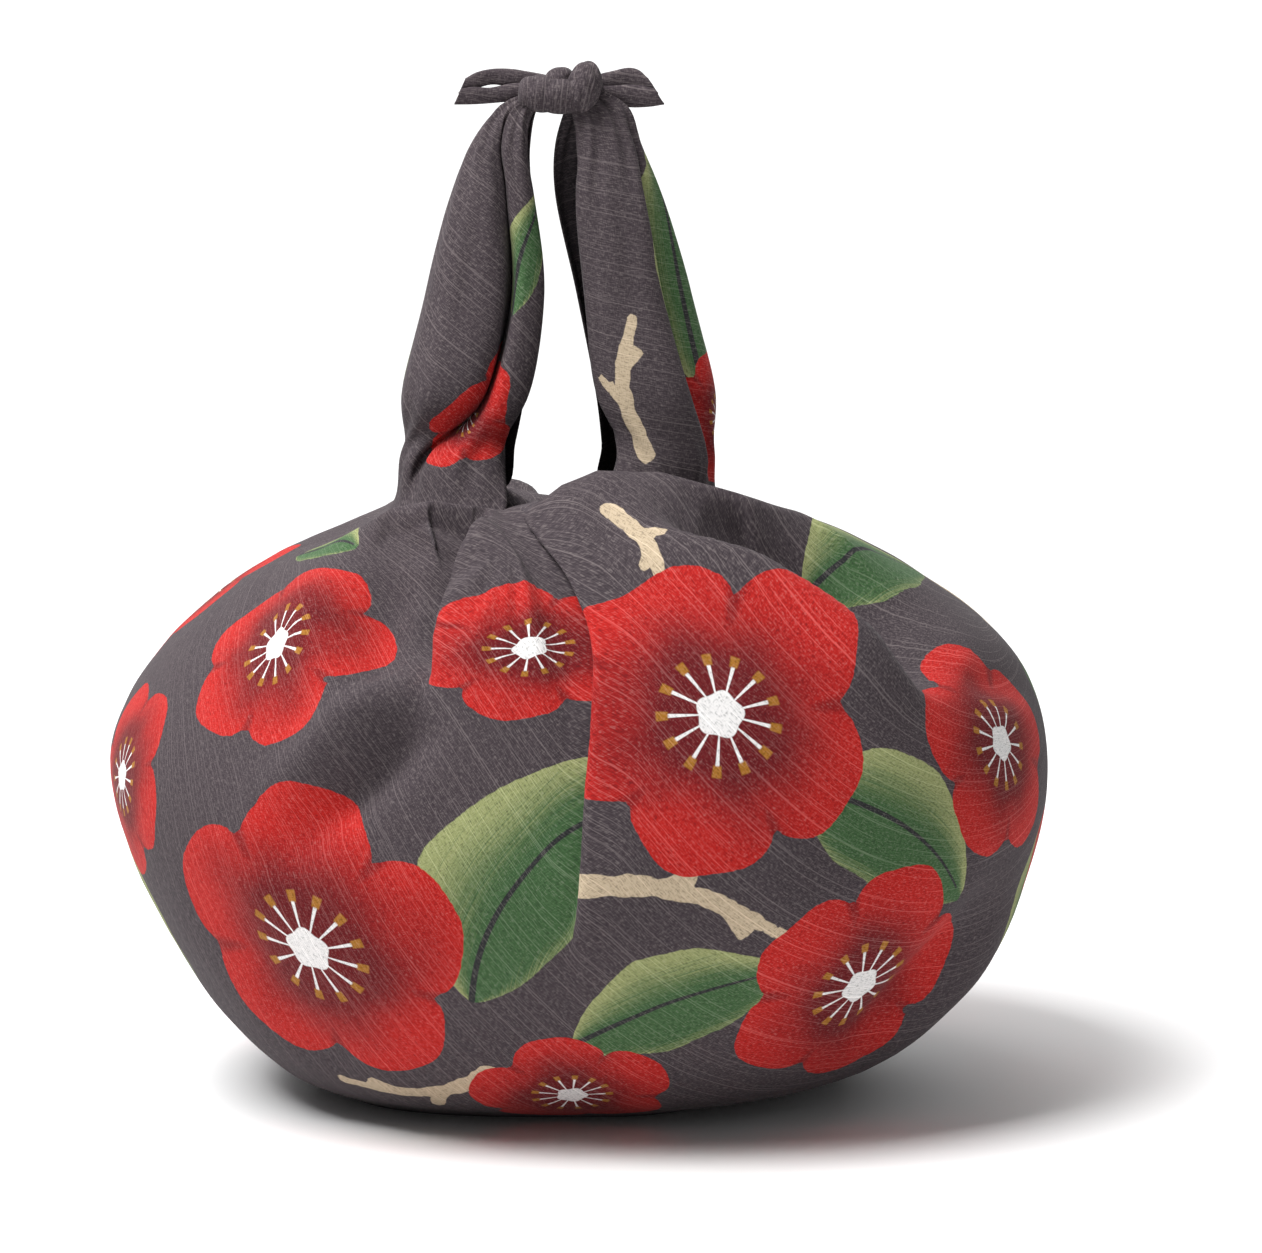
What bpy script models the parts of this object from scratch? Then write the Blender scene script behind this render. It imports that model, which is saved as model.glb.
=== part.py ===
"""A square cloth gathered and tied as a round carrying bag with one knotted handle.

Metres, +Z up. The bag's front faces -Y, +X is to its right, and it stands on z = 0.
The cloth is one sheet: a full round sack, whose rim is drawn together at the front
and at the back, and which runs on at the left and at the right into two folded
straps. The straps meet in a knot, and two short ends stand out from it.
"""
import math

import bmesh
import bpy
import numpy as np

MM = 0.001

# Driving sizes of the cloth
SHEET_THICKNESS = 1.8 * MM
TAIL_THICKNESS = 1.6 * MM
SACK_CENTRE_X = -4.0 * MM

# Columns of the sheet around the sack, counted from the right towards the back
STRAP_HALF_ANGLE = 50.0
STRAP_COLUMNS = 22
BACK_COLUMNS = 8
FRONT_COLUMNS_EACH_SIDE = 8
FLAP_ANGLE = 270.0
FLAP_STEP_ANGLE = 1.6
BODY_ROWS_PER_SPAN = 3
STRAP_ROWS_PER_SPAN = 2

# Rings of the sack from the floor to the shoulder, in mm: the height and the reach from
# the middle on each of its four sides
RING_COLUMNS = (
    "name", "z_right", "right", "z_back", "back", "z_left", "left", "z_front", "front", "squareness"
)
RINGS = (
    ("contact", 0, 66, 0, 72, 0, 96, 0, 72, 2.8),
    ("underside", 16, 134, 16, 118, 13, 124, 16, 114, 2.3),
    ("lower flank", 56, 177, 52, 151, 50, 158, 52, 148, 2.15),
    ("widest", 126, 201, 118, 175, 140, 193, 112, 175, 2.15),
    ("upper flank", 177, 191, 178, 157, 186, 171, 184, 160, 2.15),
    ("shoulder", 212, 153, 218, 122, 222, 125, 232, 124, 2.15),
)

# The top of the bulge around the mouth, in mm, a row for each direction in degrees
CREST_COLUMNS = ("angle", "x", "y", "z")
CREST = (
    (0, 94, 6, 240),
    (22, 90, 40, 238),
    (45, 68, 72, 237),
    (70, 34, 88, 240),
    (90, 0, 88, 236),
    (110, -36, 86, 241),
    (135, -72, 70, 240),
    (160, -90, 38, 236),
    (180, -93, 0, 234),
    (202, -90, -38, 240),
    (225, -76, -68, 253),
    (245, -60, -80, 258),
    (258, -42, -79, 256),
    (266, -31, -75, 253),
    (271, -17, -75, 256),
    (277, -6, -72, 264),
    (287, 8, -66, 269),
    (302, 33, -62, 268),
    (320, 64, -60, 259),
    (340, 90, -34, 248),
)

# Strap sections from the mouth to the knot, in mm: height, inner and outer edge, half
# depth, the place across the strap of its fold, from 0 at the inner edge to 1, how deep
# that fold is, and how folded the section is, from 0 for a plain curve to 1
STRAP_COLUMN_NAMES = ("z", "inner", "outer", "depth", "middle_y", "fold", "fold_depth", "folded")
LEFT_STRAP = (
    (246, -32, -78, 52, 2, 0.60, 12, 0.0),
    (268, -26, -77, 38, 1, 0.52, 14, 0.4),
    (292, -20, -73, 29, 1, 0.36, 12, 1.0),
    (334, -13, -63, 22, 0, 0.30, 9, 1.0),
    (377, -18, -52, 16, 0, 0.34, 6, 1.0),
    (396, -19, -45, 13, 0, 0.40, 3, 0.8),
    (412, -16, -33, 9, 0, 0.45, 0, 0.3),
    (418, -8, -20, 5, 0, 0.50, 0, 0.0),
)
RIGHT_STRAP = (
    (246, 10, 60, 50, 4, 0.72, 6, 0.0),
    (268, 10, 60, 38, 4, 0.74, 7, 0.5),
    (292, 8, 57, 30, 3, 0.76, 7, 1.0),
    (334, 0, 47, 23, 2, 0.73, 6, 1.0),
    (377, -9, 34, 17, 1, 0.80, 3, 1.0),
    (396, -9, 28, 13, 1, 0.80, 0, 0.8),
    (412, -5, 22, 9, 1, 0.80, 0, 0.3),
    (419, -3, 9, 5, 1, 0.80, 0, 0.0),
)
# The plain curve that a strap's section has where it isn't folded
PLAIN_TURN = 90.0
FOLD_ROOM = 40.0

# A strap's section, a row for each turn: the place across, and from -1 at the front to
# 1 at the back; "fold" rows stand at the strap's own fold, "across" in mm beside it
SECTION_COLUMNS = ("at_fold", "across", "depth", "sunk")
LEFT_SECTION = (
    (False, 0.20, -0.30, 0),
    (False, 0.02, -0.62, 0),
    (False, 0.10, -0.92, 0),
    (True, -5.5, -0.96, 0),
    (True, 0.0, -0.90, 1),
    (True, 5.5, -0.98, 0),
    (False, 0.86, -0.92, 0),
    (False, 0.98, -0.45, 0),
    (False, 1.00, 0.10, 0),
    (False, 0.88, 0.66, 0),
    (False, 0.52, 0.98, 0),
    (False, 0.12, 0.86, 0),
    (False, 0.04, 0.45, 0),
)
RIGHT_SECTION = (
    (False, 0.24, -0.34, 0),
    (False, 0.06, -0.66, 0),
    (False, 0.20, -0.94, 0),
    (False, 0.45, -1.00, 0),
    (True, -2.5, -0.90, 0),
    (True, 1.5, -0.76, 1),
    (True, 6.5, -0.60, 0),
    (False, 0.99, -0.25, 0),
    (False, 0.98, 0.25, 0),
    (False, 0.80, 0.74, 0),
    (False, 0.42, 0.96, 0),
    (False, 0.04, 0.78, 0),
    (False, -0.02, 0.36, 0),
)

# Where the rim is drawn together, and how it is turned in below that
FRONT_PUCKER = (-26 * MM, -64 * MM, 243 * MM)
BACK_PUCKER = (-6 * MM, 62 * MM, 232 * MM)
TUCK_COLUMNS = ("drop", "inward")
TUCK = (
    (6, 7),
    (18, 10),
)
RIM_SAMPLES = 41
CURVE_STEPS = 8

# The flap that lies over the middle panel: how deep the panel is sunk beside it
FLAP_SINK = 9.0 * MM
FLAP_FADE_ANGLE = 12.0
FLAP_FULL_ROW = 12

# Long soft ridges and troughs, in mm, each a curve over three points seen from its side
# of the sack (+1 back, -1 front): height above the sheet, and width
FOLD_COLUMNS = ("name", "side", "x0", "z0", "x1", "z1", "x2", "z2", "height", "width")
FOLDS = (
    ("shoulder ridge", -1, 12, 266, 82, 238, 144, 186, 8, 12),
    ("shoulder trough", -1, 44, 266, 104, 242, 156, 198, -9, 11),
    ("left panel crease", -1, -40, 250, -56, 228, -63, 186, -7, 10),
    ("left panel ridge", -1, -62, 184, -90, 162, -124, 142, 6, 13),
    ("left panel trough", -1, -68, 164, -92, 142, -122, 124, -5, 12),
    ("left outer trough", -1, -90, 236, -84, 216, -74, 196, -5, 11),
    ("lower right ridge", -1, 186, 90, 158, 48, 120, 22, 4, 12),
    ("lower right trough", -1, 172, 100, 144, 62, 108, 34, -5, 13),
    ("lower left trough", -1, -150, 110, -132, 62, -88, 24, -4, 15),
    ("back shoulder ridge", 1, -20, 246, -70, 222, -130, 178, 7, 16),
    ("back shoulder trough", 1, -16, 226, -56, 196, -104, 156, -5, 16),
    ("back right crease", 1, 14, 232, 44, 200, 62, 150, -5, 15),
    ("back right ridge", 1, 34, 236, 80, 206, 124, 160, 6, 16),
    ("back low trough", 1, -120, 90, -90, 50, -50, 26, -3, 16),
)
FOLD_SAMPLES = 14
FOLD_END_STRENGTH = 0.4
FOLD_FACING = 2.5

# The knot: a band and a ball, each an ellipsoid with its middle, half sizes and tilt
KNOT_COLUMNS = ("name", "x", "y", "z", "half_x", "half_y", "half_z", "tilt")
KNOT = (
    ("band", -13, -4, 418, 14.5, 10, 7.5, 4),
    ("ball", 0, -5, 422, 9, 10.5, 11, -12),
    ("back turn", -4, 5, 417, 15, 8, 8, 0),
)
KNOT_SEGMENTS = 18
KNOT_RINGS = 10

# The two free ends, in mm, a row for each section: its middle, half height and half depth
TAIL_COLUMNS = ("x", "y", "z", "half_height", "half_depth")
LEFT_TAIL = (
    (-9, 4, 420, 5.0, 4.0),
    (-20, 5, 423, 5.2, 4.0),
    (-34, 5, 422.5, 5.6, 4.4),
    (-46, 4, 421, 5.8, 4.4),
    (-52, 3, 419, 5.6, 4.2),
)
RIGHT_TAIL = (
    (4, 5, 419, 4.6, 4.0),
    (14, 6, 421, 6.4, 4.6),
    (24, 6, 421, 7.0, 4.8),
    (32, 5, 419, 6.8, 4.6),
    (37, 4, 417, 5.8, 4.2),
)
TAIL_SECTION_POINTS = 11
# Half the angle over which the folded end stays open along its lower edge
TAIL_GAP_ANGLE = 55.0

CLOTH_COLOUR = (0.075, 0.058, 0.062, 1.0)


def named(columns, row):
    """One row of a table, by the names of its columns."""
    return dict(zip(columns, row))


def spline(points, steps):
    """A smooth curve through the points, with the given steps in each span."""
    points = [np.asarray(point, dtype=float) for point in points]
    ends = [2 * points[0] - points[1]] + points + [2 * points[-1] - points[-2]]
    curve = []
    for i in range(1, len(ends) - 2):
        p0, p1, p2, p3 = ends[i - 1:i + 3]
        d1 = max(np.linalg.norm(p1 - p0), 1e-6) ** 0.5
        d2 = max(np.linalg.norm(p2 - p1), 1e-6) ** 0.5
        d3 = max(np.linalg.norm(p3 - p2), 1e-6) ** 0.5
        m1 = d2 * ((p1 - p0) / d1 - (p2 - p0) / (d1 + d2) + (p2 - p1) / d2)
        m2 = d2 * ((p2 - p1) / d2 - (p3 - p1) / (d2 + d3) + (p3 - p2) / d3)
        for k in range(steps):
            t = k / steps
            curve.append(
                (2 * t ** 3 - 3 * t ** 2 + 1) * p1
                + (t ** 3 - 2 * t ** 2 + t) * m1
                + (3 * t ** 2 - 2 * t ** 3) * p2
                + (t ** 3 - t ** 2) * m2
            )
    curve.append(points[-1])
    return curve


def column_list():
    """Every column of the sheet: its sector, its place in the sector and its angle."""
    half = STRAP_HALF_ANGLE
    columns = []
    for k in range(STRAP_COLUMNS):
        place = k / STRAP_COLUMNS
        columns.append(("right", place, -half + 2 * half * place))
    for k in range(BACK_COLUMNS):
        place = k / BACK_COLUMNS
        columns.append(("back", place, half + (180 - 2 * half) * place))
    for k in range(STRAP_COLUMNS):
        place = k / STRAP_COLUMNS
        columns.append(("left", place, 180 - half + 2 * half * place))
    first = 180 + half
    before = np.linspace(first, FLAP_ANGLE - FLAP_STEP_ANGLE / 2, FRONT_COLUMNS_EACH_SIDE + 1)
    after = np.linspace(FLAP_ANGLE + FLAP_STEP_ANGLE / 2, 360 - half, FRONT_COLUMNS_EACH_SIDE + 1)
    for angle in list(before) + list(after[:-1]):
        columns.append(("front", (angle - first) / (180 - 2 * half), angle))
    return columns


def ring_point(row, angle):
    """A point of one ring: an oval with its own reach and height on each side."""
    ring = named(RING_COLUMNS, row)
    across = math.cos(math.radians(angle))
    along = math.sin(math.radians(angle))
    side = "right" if across >= 0 else "left"
    face = "back" if along >= 0 else "front"
    reach_x = ring[side] * MM
    reach_y = ring[face] * MM
    power = ring["squareness"]
    reach = ((abs(across) / reach_x) ** power + (abs(along) / reach_y) ** power) ** (-1 / power)
    height = across ** 2 * ring["z_" + side] + along ** 2 * ring["z_" + face]
    return np.array((SACK_CENTRE_X + reach * across, reach * along, height * MM))


def crest_point(angle):
    """The top of the bulge around the mouth in one direction."""
    rows = [named(CREST_COLUMNS, row) for row in CREST]
    angles = [row["angle"] for row in rows] + [360]
    rows.append(rows[0])
    angle = angle % 360
    place = max(i for i in range(len(angles) - 1) if angles[i] <= angle)
    share = (angle - angles[place]) / (angles[place + 1] - angles[place])
    first = np.array([rows[place][axis] for axis in "xyz"])
    second = np.array([rows[place + 1][axis] for axis in "xyz"])
    return (first + (second - first) * share) * MM


def strap_section(strap_row, section):
    """The turns of one section of a strap, as points, from its front hem to its back."""
    strap = named(STRAP_COLUMN_NAMES, strap_row)
    width = strap["outer"] - strap["inner"]
    points = []
    for count, row in enumerate(section):
        turn = named(SECTION_COLUMNS, row)
        across = turn["across"]
        if turn["at_fold"]:
            across = strap["fold"] + across / max(abs(width), FOLD_ROOM)
        depth = turn["depth"] * strap["depth"] + turn["sunk"] * strap["fold_depth"]
        angle = math.radians(PLAIN_TURN * (2 * count / (len(section) - 1) - 1))
        plain_across = math.cos(angle)
        plain_depth = math.sin(angle) * strap["depth"]
        across = plain_across + (across - plain_across) * strap["folded"]
        depth = plain_depth + (depth - plain_depth) * strap["folded"]
        x = strap["inner"] + across * width
        points.append(np.array((x, strap["middle_y"] + depth, strap["z"])) * MM)
    return points


def resampled(points, count):
    """The same curve with evenly spaced points."""
    dense = np.array(spline(points, CURVE_STEPS))
    steps = np.linalg.norm(np.diff(dense, axis=0), axis=1)
    length = np.concatenate(([0], np.cumsum(steps)))
    wanted = np.linspace(0, length[-1], count)
    return list(np.column_stack([np.interp(wanted, length, dense[:, axis]) for axis in range(3)]))


def strap_rows(rows, section):
    """All sections of a strap, each with one point for every column."""
    return [resampled(strap_section(row, section), STRAP_COLUMNS + 1) for row in rows]


def drawn_rim(first_hem, pucker, last_hem, places):
    """Points of the drawn-in rim between two strap hems, one for each place from 0 to 1."""
    curve = np.array(resampled([first_hem, np.array(pucker), last_hem], RIM_SAMPLES))
    spread = np.linspace(0, 1, RIM_SAMPLES)
    return list(np.column_stack([np.interp(places, spread, curve[:, axis]) for axis in range(3)]))


def flap_sink(angle, row, last_row):
    """How far the middle panel lies behind the flap at one point of a front column."""
    if not 180 + STRAP_HALF_ANGLE < angle < FLAP_ANGLE or row in (0, last_row):
        return 0.0
    share = min(1.0, row / FLAP_FULL_ROW)
    return FLAP_SINK * share * math.exp(-(FLAP_ANGLE - angle) / FLAP_FADE_ANGLE)


def sheet_columns(columns, left_rows, right_rows):
    """Each column's points from the floor to the neck, and a strap's points above it."""
    bodies = []
    straps = []
    neck_row = BODY_ROWS_PER_SPAN * (len(RINGS) + 1)
    fronts = [place for sector, place, angle in columns if sector == "front"]
    backs = [place for sector, place, angle in columns if sector == "back"]
    front_rim = drawn_rim(left_rows[0][0], FRONT_PUCKER, right_rows[0][0], fronts)
    back_rim = drawn_rim(right_rows[0][-1], BACK_PUCKER, left_rows[0][-1], backs)
    for sector, place, angle in columns:
        points = [ring_point(row, angle) for row in RINGS]
        points.append(crest_point(angle))
        index = int(round(place * STRAP_COLUMNS))
        if sector == "right" or (sector == "back" and place == 0):
            turn = index if sector == "right" else STRAP_COLUMNS
            points += [row[turn] for row in right_rows]
        elif sector == "left" or (sector == "front" and place == 0):
            turn = STRAP_COLUMNS - index if sector == "left" else 0
            points += [row[turn] for row in left_rows]
        elif sector == "front":
            points.append(front_rim[fronts.index(place)])
        else:
            points.append(back_rim[backs.index(place)])
        body = spline(points, BODY_ROWS_PER_SPAN)[:neck_row + 1]
        strap = spline(points, STRAP_ROWS_PER_SPAN)[STRAP_ROWS_PER_SPAN * (len(RINGS) + 1):]
        for row, point in enumerate(body):
            point[1] += flap_sink(angle, row, neck_row)
            point[2] = max(point[2], 0.0)
        bodies.append(body)
        straps.append(strap)
    return bodies, straps


def tuck_points(neck):
    """The rim turned in below one point of the neck."""
    turns = [named(TUCK_COLUMNS, row) for row in TUCK]
    side = math.copysign(1, neck[1])
    return [neck + np.array((0, -side * turn["inward"], -turn["drop"])) * MM for turn in turns]


def add_strip(bm, neck_vertices, uppers):
    """A strip of the sheet that goes on from the neck."""
    columns = []
    for vertex, points in zip(neck_vertices, uppers):
        columns.append([vertex] + [bm.verts.new(point) for point in points])
    for here, after in zip(columns, columns[1:]):
        for j in range(len(here) - 1):
            bm.faces.new((here[j], after[j], after[j + 1], here[j + 1]))


def fold_curve(fold):
    """Points along one ridge or trough, seen from its side, and its strength at each."""
    steps = np.linspace(0, 1, FOLD_SAMPLES)
    weights = ((1 - steps) ** 2, 2 * steps * (1 - steps), steps ** 2)
    x = sum(weight * fold[key] for weight, key in zip(weights, ("x0", "x1", "x2")))
    z = sum(weight * fold[key] for weight, key in zip(weights, ("z0", "z1", "z2")))
    strength = FOLD_END_STRENGTH + (1 - FOLD_END_STRENGTH) * np.sin(np.pi * steps)
    return np.column_stack((x, z)) * MM, strength


def press_folds(bm, vertices):
    """Raise the ridges and sink the troughs of the sack's front and back."""
    bm.normal_update()
    moves = []
    for vertex in vertices:
        place = np.array((vertex.co.x, vertex.co.z))
        rise = 0.0
        for row in FOLDS:
            fold = named(FOLD_COLUMNS, row)
            if vertex.normal.y * fold["side"] <= 0:
                continue
            curve, strength = fold_curve(fold)
            away = np.linalg.norm(curve - place, axis=1)
            near = int(np.argmin(away))
            facing = min(1.0, FOLD_FACING * abs(vertex.normal.y))
            shape = math.exp(-(away[near] / (fold["width"] * MM)) ** 2)
            rise += fold["height"] * MM * strength[near] * shape * facing
        moves.append(vertex.normal * rise)
    for vertex, move in zip(vertices, moves):
        vertex.co += move
        vertex.co.z = max(vertex.co.z, 0.0)


def cloth_sheet():
    """The whole sheet of the sack and the straps, as a solid of its thickness."""
    columns = column_list()
    left_rows = strap_rows(LEFT_STRAP, LEFT_SECTION)
    right_rows = strap_rows(RIGHT_STRAP, RIGHT_SECTION)
    bodies, straps = sheet_columns(columns, left_rows, right_rows)
    bm = bmesh.new()
    rows = [[bm.verts.new(point) for point in column] for column in bodies]
    count = len(rows)
    for k in range(count):
        here = rows[k]
        after = rows[(k + 1) % count]
        for j in range(len(here) - 1):
            bm.faces.new((here[j], after[j], after[j + 1], here[j + 1]))
    bm.faces.new([column[0] for column in reversed(rows)])
    press_folds(bm, [vertex for column in rows for vertex in column[1:-1]])
    neck = [column[-1] for column in rows]
    right_end = STRAP_COLUMNS
    left_start = right_end + BACK_COLUMNS
    left_end = left_start + STRAP_COLUMNS
    right = list(range(0, right_end + 1))
    back = list(range(right_end, left_start + 1))
    left = list(range(left_start, left_end + 1))
    front = list(range(left_end, count)) + [0]
    for strap in (right, left):
        add_strip(bm, [neck[k] for k in strap], [straps[k][1:] for k in strap])
    for tuck in (back, front):
        add_strip(bm, [neck[k] for k in tuck], [tuck_points(bodies[k][-1]) for k in tuck])
    return finish_object("wrap_cloth", bm, SHEET_THICKNESS)


def finish_object(name, bm, thickness):
    """An object of the mesh, thickened inwards where it is an open sheet."""
    mesh = bpy.data.meshes.new(name)
    bm.to_mesh(mesh)
    bm.free()
    mesh.shade_smooth()
    cloth = bpy.data.objects.new(name, mesh)
    if thickness > 0:
        solid = cloth.modifiers.new("Sheet thickness", "SOLIDIFY")
        solid.thickness = thickness
        solid.offset = -1.0
        solid.use_quality_normals = True
    return cloth


def knot_lump(row):
    """One smooth turn of the knot."""
    lump = named(KNOT_COLUMNS, row)
    bm = bmesh.new()
    bmesh.ops.create_uvsphere(bm, u_segments=KNOT_SEGMENTS, v_segments=KNOT_RINGS, radius=1.0)
    lump_object = finish_object(lump["name"], bm, 0)
    lump_object.scale = [lump["half_" + axis] * MM for axis in "xyz"]
    lump_object.rotation_euler = (0, math.radians(lump["tilt"]), 0)
    lump_object.location = [lump[axis] * MM for axis in "xyz"]
    return lump_object


def tail(name, rows):
    """One free end: a sheet folded along its length, open along its lower edge."""
    sections = []
    for row in rows:
        place = named(TAIL_COLUMNS, row)
        middle = np.array((place["x"], place["y"], place["z"]))
        turns = np.linspace(TAIL_GAP_ANGLE - 90, 270 - TAIL_GAP_ANGLE, TAIL_SECTION_POINTS)
        section = []
        for angle in np.radians(turns):
            offset = (0, place["half_depth"] * math.cos(angle), place["half_height"] * math.sin(angle))
            section.append((middle + np.array(offset)) * MM)
        sections.append(section)
    if rows[0][0] > rows[-1][0]:
        sections.reverse()
    bm = bmesh.new()
    grid = [[bm.verts.new(point) for point in section] for section in sections]
    for here, after in zip(grid, grid[1:]):
        for j in range(len(here) - 1):
            bm.faces.new((here[j], here[j + 1], after[j + 1], after[j]))
    return finish_object(name, bm, TAIL_THICKNESS)


def cloth_material():
    """Dark dyed slub cotton: matt, with no metal in it."""
    material = bpy.data.materials.new("slub_cotton")
    material.use_nodes = True
    shader = material.node_tree.nodes["Principled BSDF"]
    shader.inputs["Base Color"].default_value = CLOTH_COLOUR
    shader.inputs["Roughness"].default_value = 0.85
    shader.inputs["Metallic"].default_value = 0.0
    return material


def join(base, pieces, guides):
    """Unite the pieces with the sheet, so that the cloth is one solid."""
    for piece in pieces:
        guides.objects.link(piece)
        piece.hide_render = True
        piece.display_type = "WIRE"
        union = base.modifiers.new("Join " + piece.name, "BOOLEAN")
        union.operation = "UNION"
        union.solver = "EXACT"
        union.object = piece


def main():
    """Build the tied cloth."""
    for thing in list(bpy.data.objects):
        bpy.data.objects.remove(thing, do_unlink=True)
    parts = bpy.data.collections.new("furoshiki_wrap")
    guides = bpy.data.collections.new("cutters")
    bpy.context.scene.collection.children.link(parts)
    bpy.context.scene.collection.children.link(guides)
    cloth = cloth_sheet()
    parts.objects.link(cloth)
    cloth.data.materials.append(cloth_material())
    pieces = [knot_lump(row) for row in KNOT]
    pieces.append(tail("left_end", LEFT_TAIL))
    pieces.append(tail("right_end", RIGHT_TAIL))
    join(cloth, pieces, guides)


main()
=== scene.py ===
"""Looks of a printed slub cotton cloth, tied as a round carrying bag with one knot.

The cloth is one fine sheet on the folds of the solid: a full sack, two folded straps,
a knot and two free ends. Its weave and its print are worked out on the cloth itself.
"""
from __future__ import annotations

import logging
import math
from dataclasses import dataclass, field
from enum import Enum, IntEnum

import bmesh
import bpy
import numpy as np
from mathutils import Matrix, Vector, noise


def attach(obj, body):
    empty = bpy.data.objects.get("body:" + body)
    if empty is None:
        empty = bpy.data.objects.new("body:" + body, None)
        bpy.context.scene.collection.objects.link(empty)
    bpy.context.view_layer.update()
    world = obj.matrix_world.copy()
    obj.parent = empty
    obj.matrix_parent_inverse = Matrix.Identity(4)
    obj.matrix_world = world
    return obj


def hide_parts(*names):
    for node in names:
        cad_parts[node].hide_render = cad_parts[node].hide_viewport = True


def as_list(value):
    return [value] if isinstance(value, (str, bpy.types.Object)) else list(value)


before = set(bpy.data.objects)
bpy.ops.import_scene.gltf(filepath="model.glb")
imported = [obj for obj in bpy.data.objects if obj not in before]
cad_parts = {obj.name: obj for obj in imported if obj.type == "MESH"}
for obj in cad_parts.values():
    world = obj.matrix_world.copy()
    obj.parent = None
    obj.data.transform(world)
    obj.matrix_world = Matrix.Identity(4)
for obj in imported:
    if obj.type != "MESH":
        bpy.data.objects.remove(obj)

LOG = logging.getLogger("wrap")
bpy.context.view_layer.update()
MM = 0.001
TINY = 1e-9
# The field of a motif where nothing is printed, and a distance past every motif, in metres
BARE = -0.05
FAR = 9.0
# How finely a fold's curve is measured, and how soon the sheet counts as facing a side
CURVE_SAMPLES = 60
FACING_GAIN = 2.5
NOISE_ROUGHNESS = 0.55
# Where the creases of a swirled turn of the knot run around, in shares of its half sizes
SWIRL_CENTRE = (-0.75, -0.9, -0.45)

Socket = bpy.types.NodeSocket
Colour = tuple[float, float, float, float]
Point = tuple[float, float, float]


def linear(code: str) -> Colour:
    """Turn an sRGB colour into linear light.

    Args:
        code: the colour as six hex digits after a hash.

    Returns:
        The linear red, green and blue, and full alpha.
    """
    parts = [int(code[i:i + 2], 16) / 255 for i in (1, 3, 5)]
    light = [c / 12.92 if c <= 0.04045 else ((c + 0.055) / 1.055) ** 2.4 for c in parts]
    return light[0], light[1], light[2], 1.0


def principled(name: str, values: dict[str, float | Colour]) -> bpy.types.Material:
    """Make a material with one Principled shader.

    Args:
        name: its name.
        values: what is set on the shader's own sockets.

    Returns:
        The material.
    """
    material = bpy.data.materials.new(name)
    material.use_nodes = True
    for key, value in values.items():
        material.node_tree.nodes["Principled BSDF"].inputs[key].default_value = value
    return material


class Patch(IntEnum):
    """The parts of the cloth whose weave is laid out on their own."""

    SACK = 1
    RIGHT_STRAP = 3
    LEFT_STRAP = 4
    BACK_RIM = 5
    FRONT_RIM = 6
    UNDERSIDE = 7
    KNOT = 11
    UPPER_END = 21
    LOWER_END = 22


class Side(Enum):
    """The side of the sack that a fold or a motif belongs to."""

    FRONT = -1
    BACK = 1


@dataclass(frozen=True)
class Ring:
    """One level ring of the sack: the height and the reach on its four sides, in mm."""

    name: str
    z_right: float
    right: float
    z_back: float
    back: float
    z_left: float
    left: float
    z_front: float
    front: float
    squareness: float

    def points(self, angles: np.ndarray, centre_x: float) -> np.ndarray:
        """Points of the ring.

        Args:
            angles: directions in degrees from the right towards the back.
            centre_x: the middle of the ring.

        Returns:
            One point in metres for each direction.
        """
        across = np.cos(np.radians(angles))
        along = np.sin(np.radians(angles))
        reach_x = np.where(across >= 0, self.right, self.left)
        reach_y = np.where(along >= 0, self.back, self.front)
        power = self.squareness
        reach = (np.abs(across) / reach_x) ** power + (np.abs(along) / reach_y) ** power
        reach = reach ** (-1 / power)
        z_x = np.where(across >= 0, self.z_right, self.z_left)
        z_y = np.where(along >= 0, self.z_back, self.z_front)
        height = across ** 2 * z_x + along ** 2 * z_y
        return np.column_stack((centre_x + reach * across, reach * along, height)) * MM


@dataclass(frozen=True)
class Wave:
    """One of the waves that make up uneven gathers: how many, how high, where they start."""

    count: float
    height: float
    start: float


@dataclass(frozen=True)
class CrestPoint:
    """The top of the bulge around the mouth in one direction, in mm."""

    angle: float
    x: float
    y: float
    z: float


@dataclass(frozen=True)
class StrapStation:
    """One level section of a strap, in mm."""

    z: float
    inner: float
    outer: float
    depth: float
    middle_y: float
    fold: float
    fold_depth: float
    folded: float
    bare: float = 0.0


@dataclass(frozen=True)
class Turn:
    """One turn of a strap's section: the place across it, and from front to back."""

    at_fold: bool
    across: float
    depth: float
    sunk: float = 0.0


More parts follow.
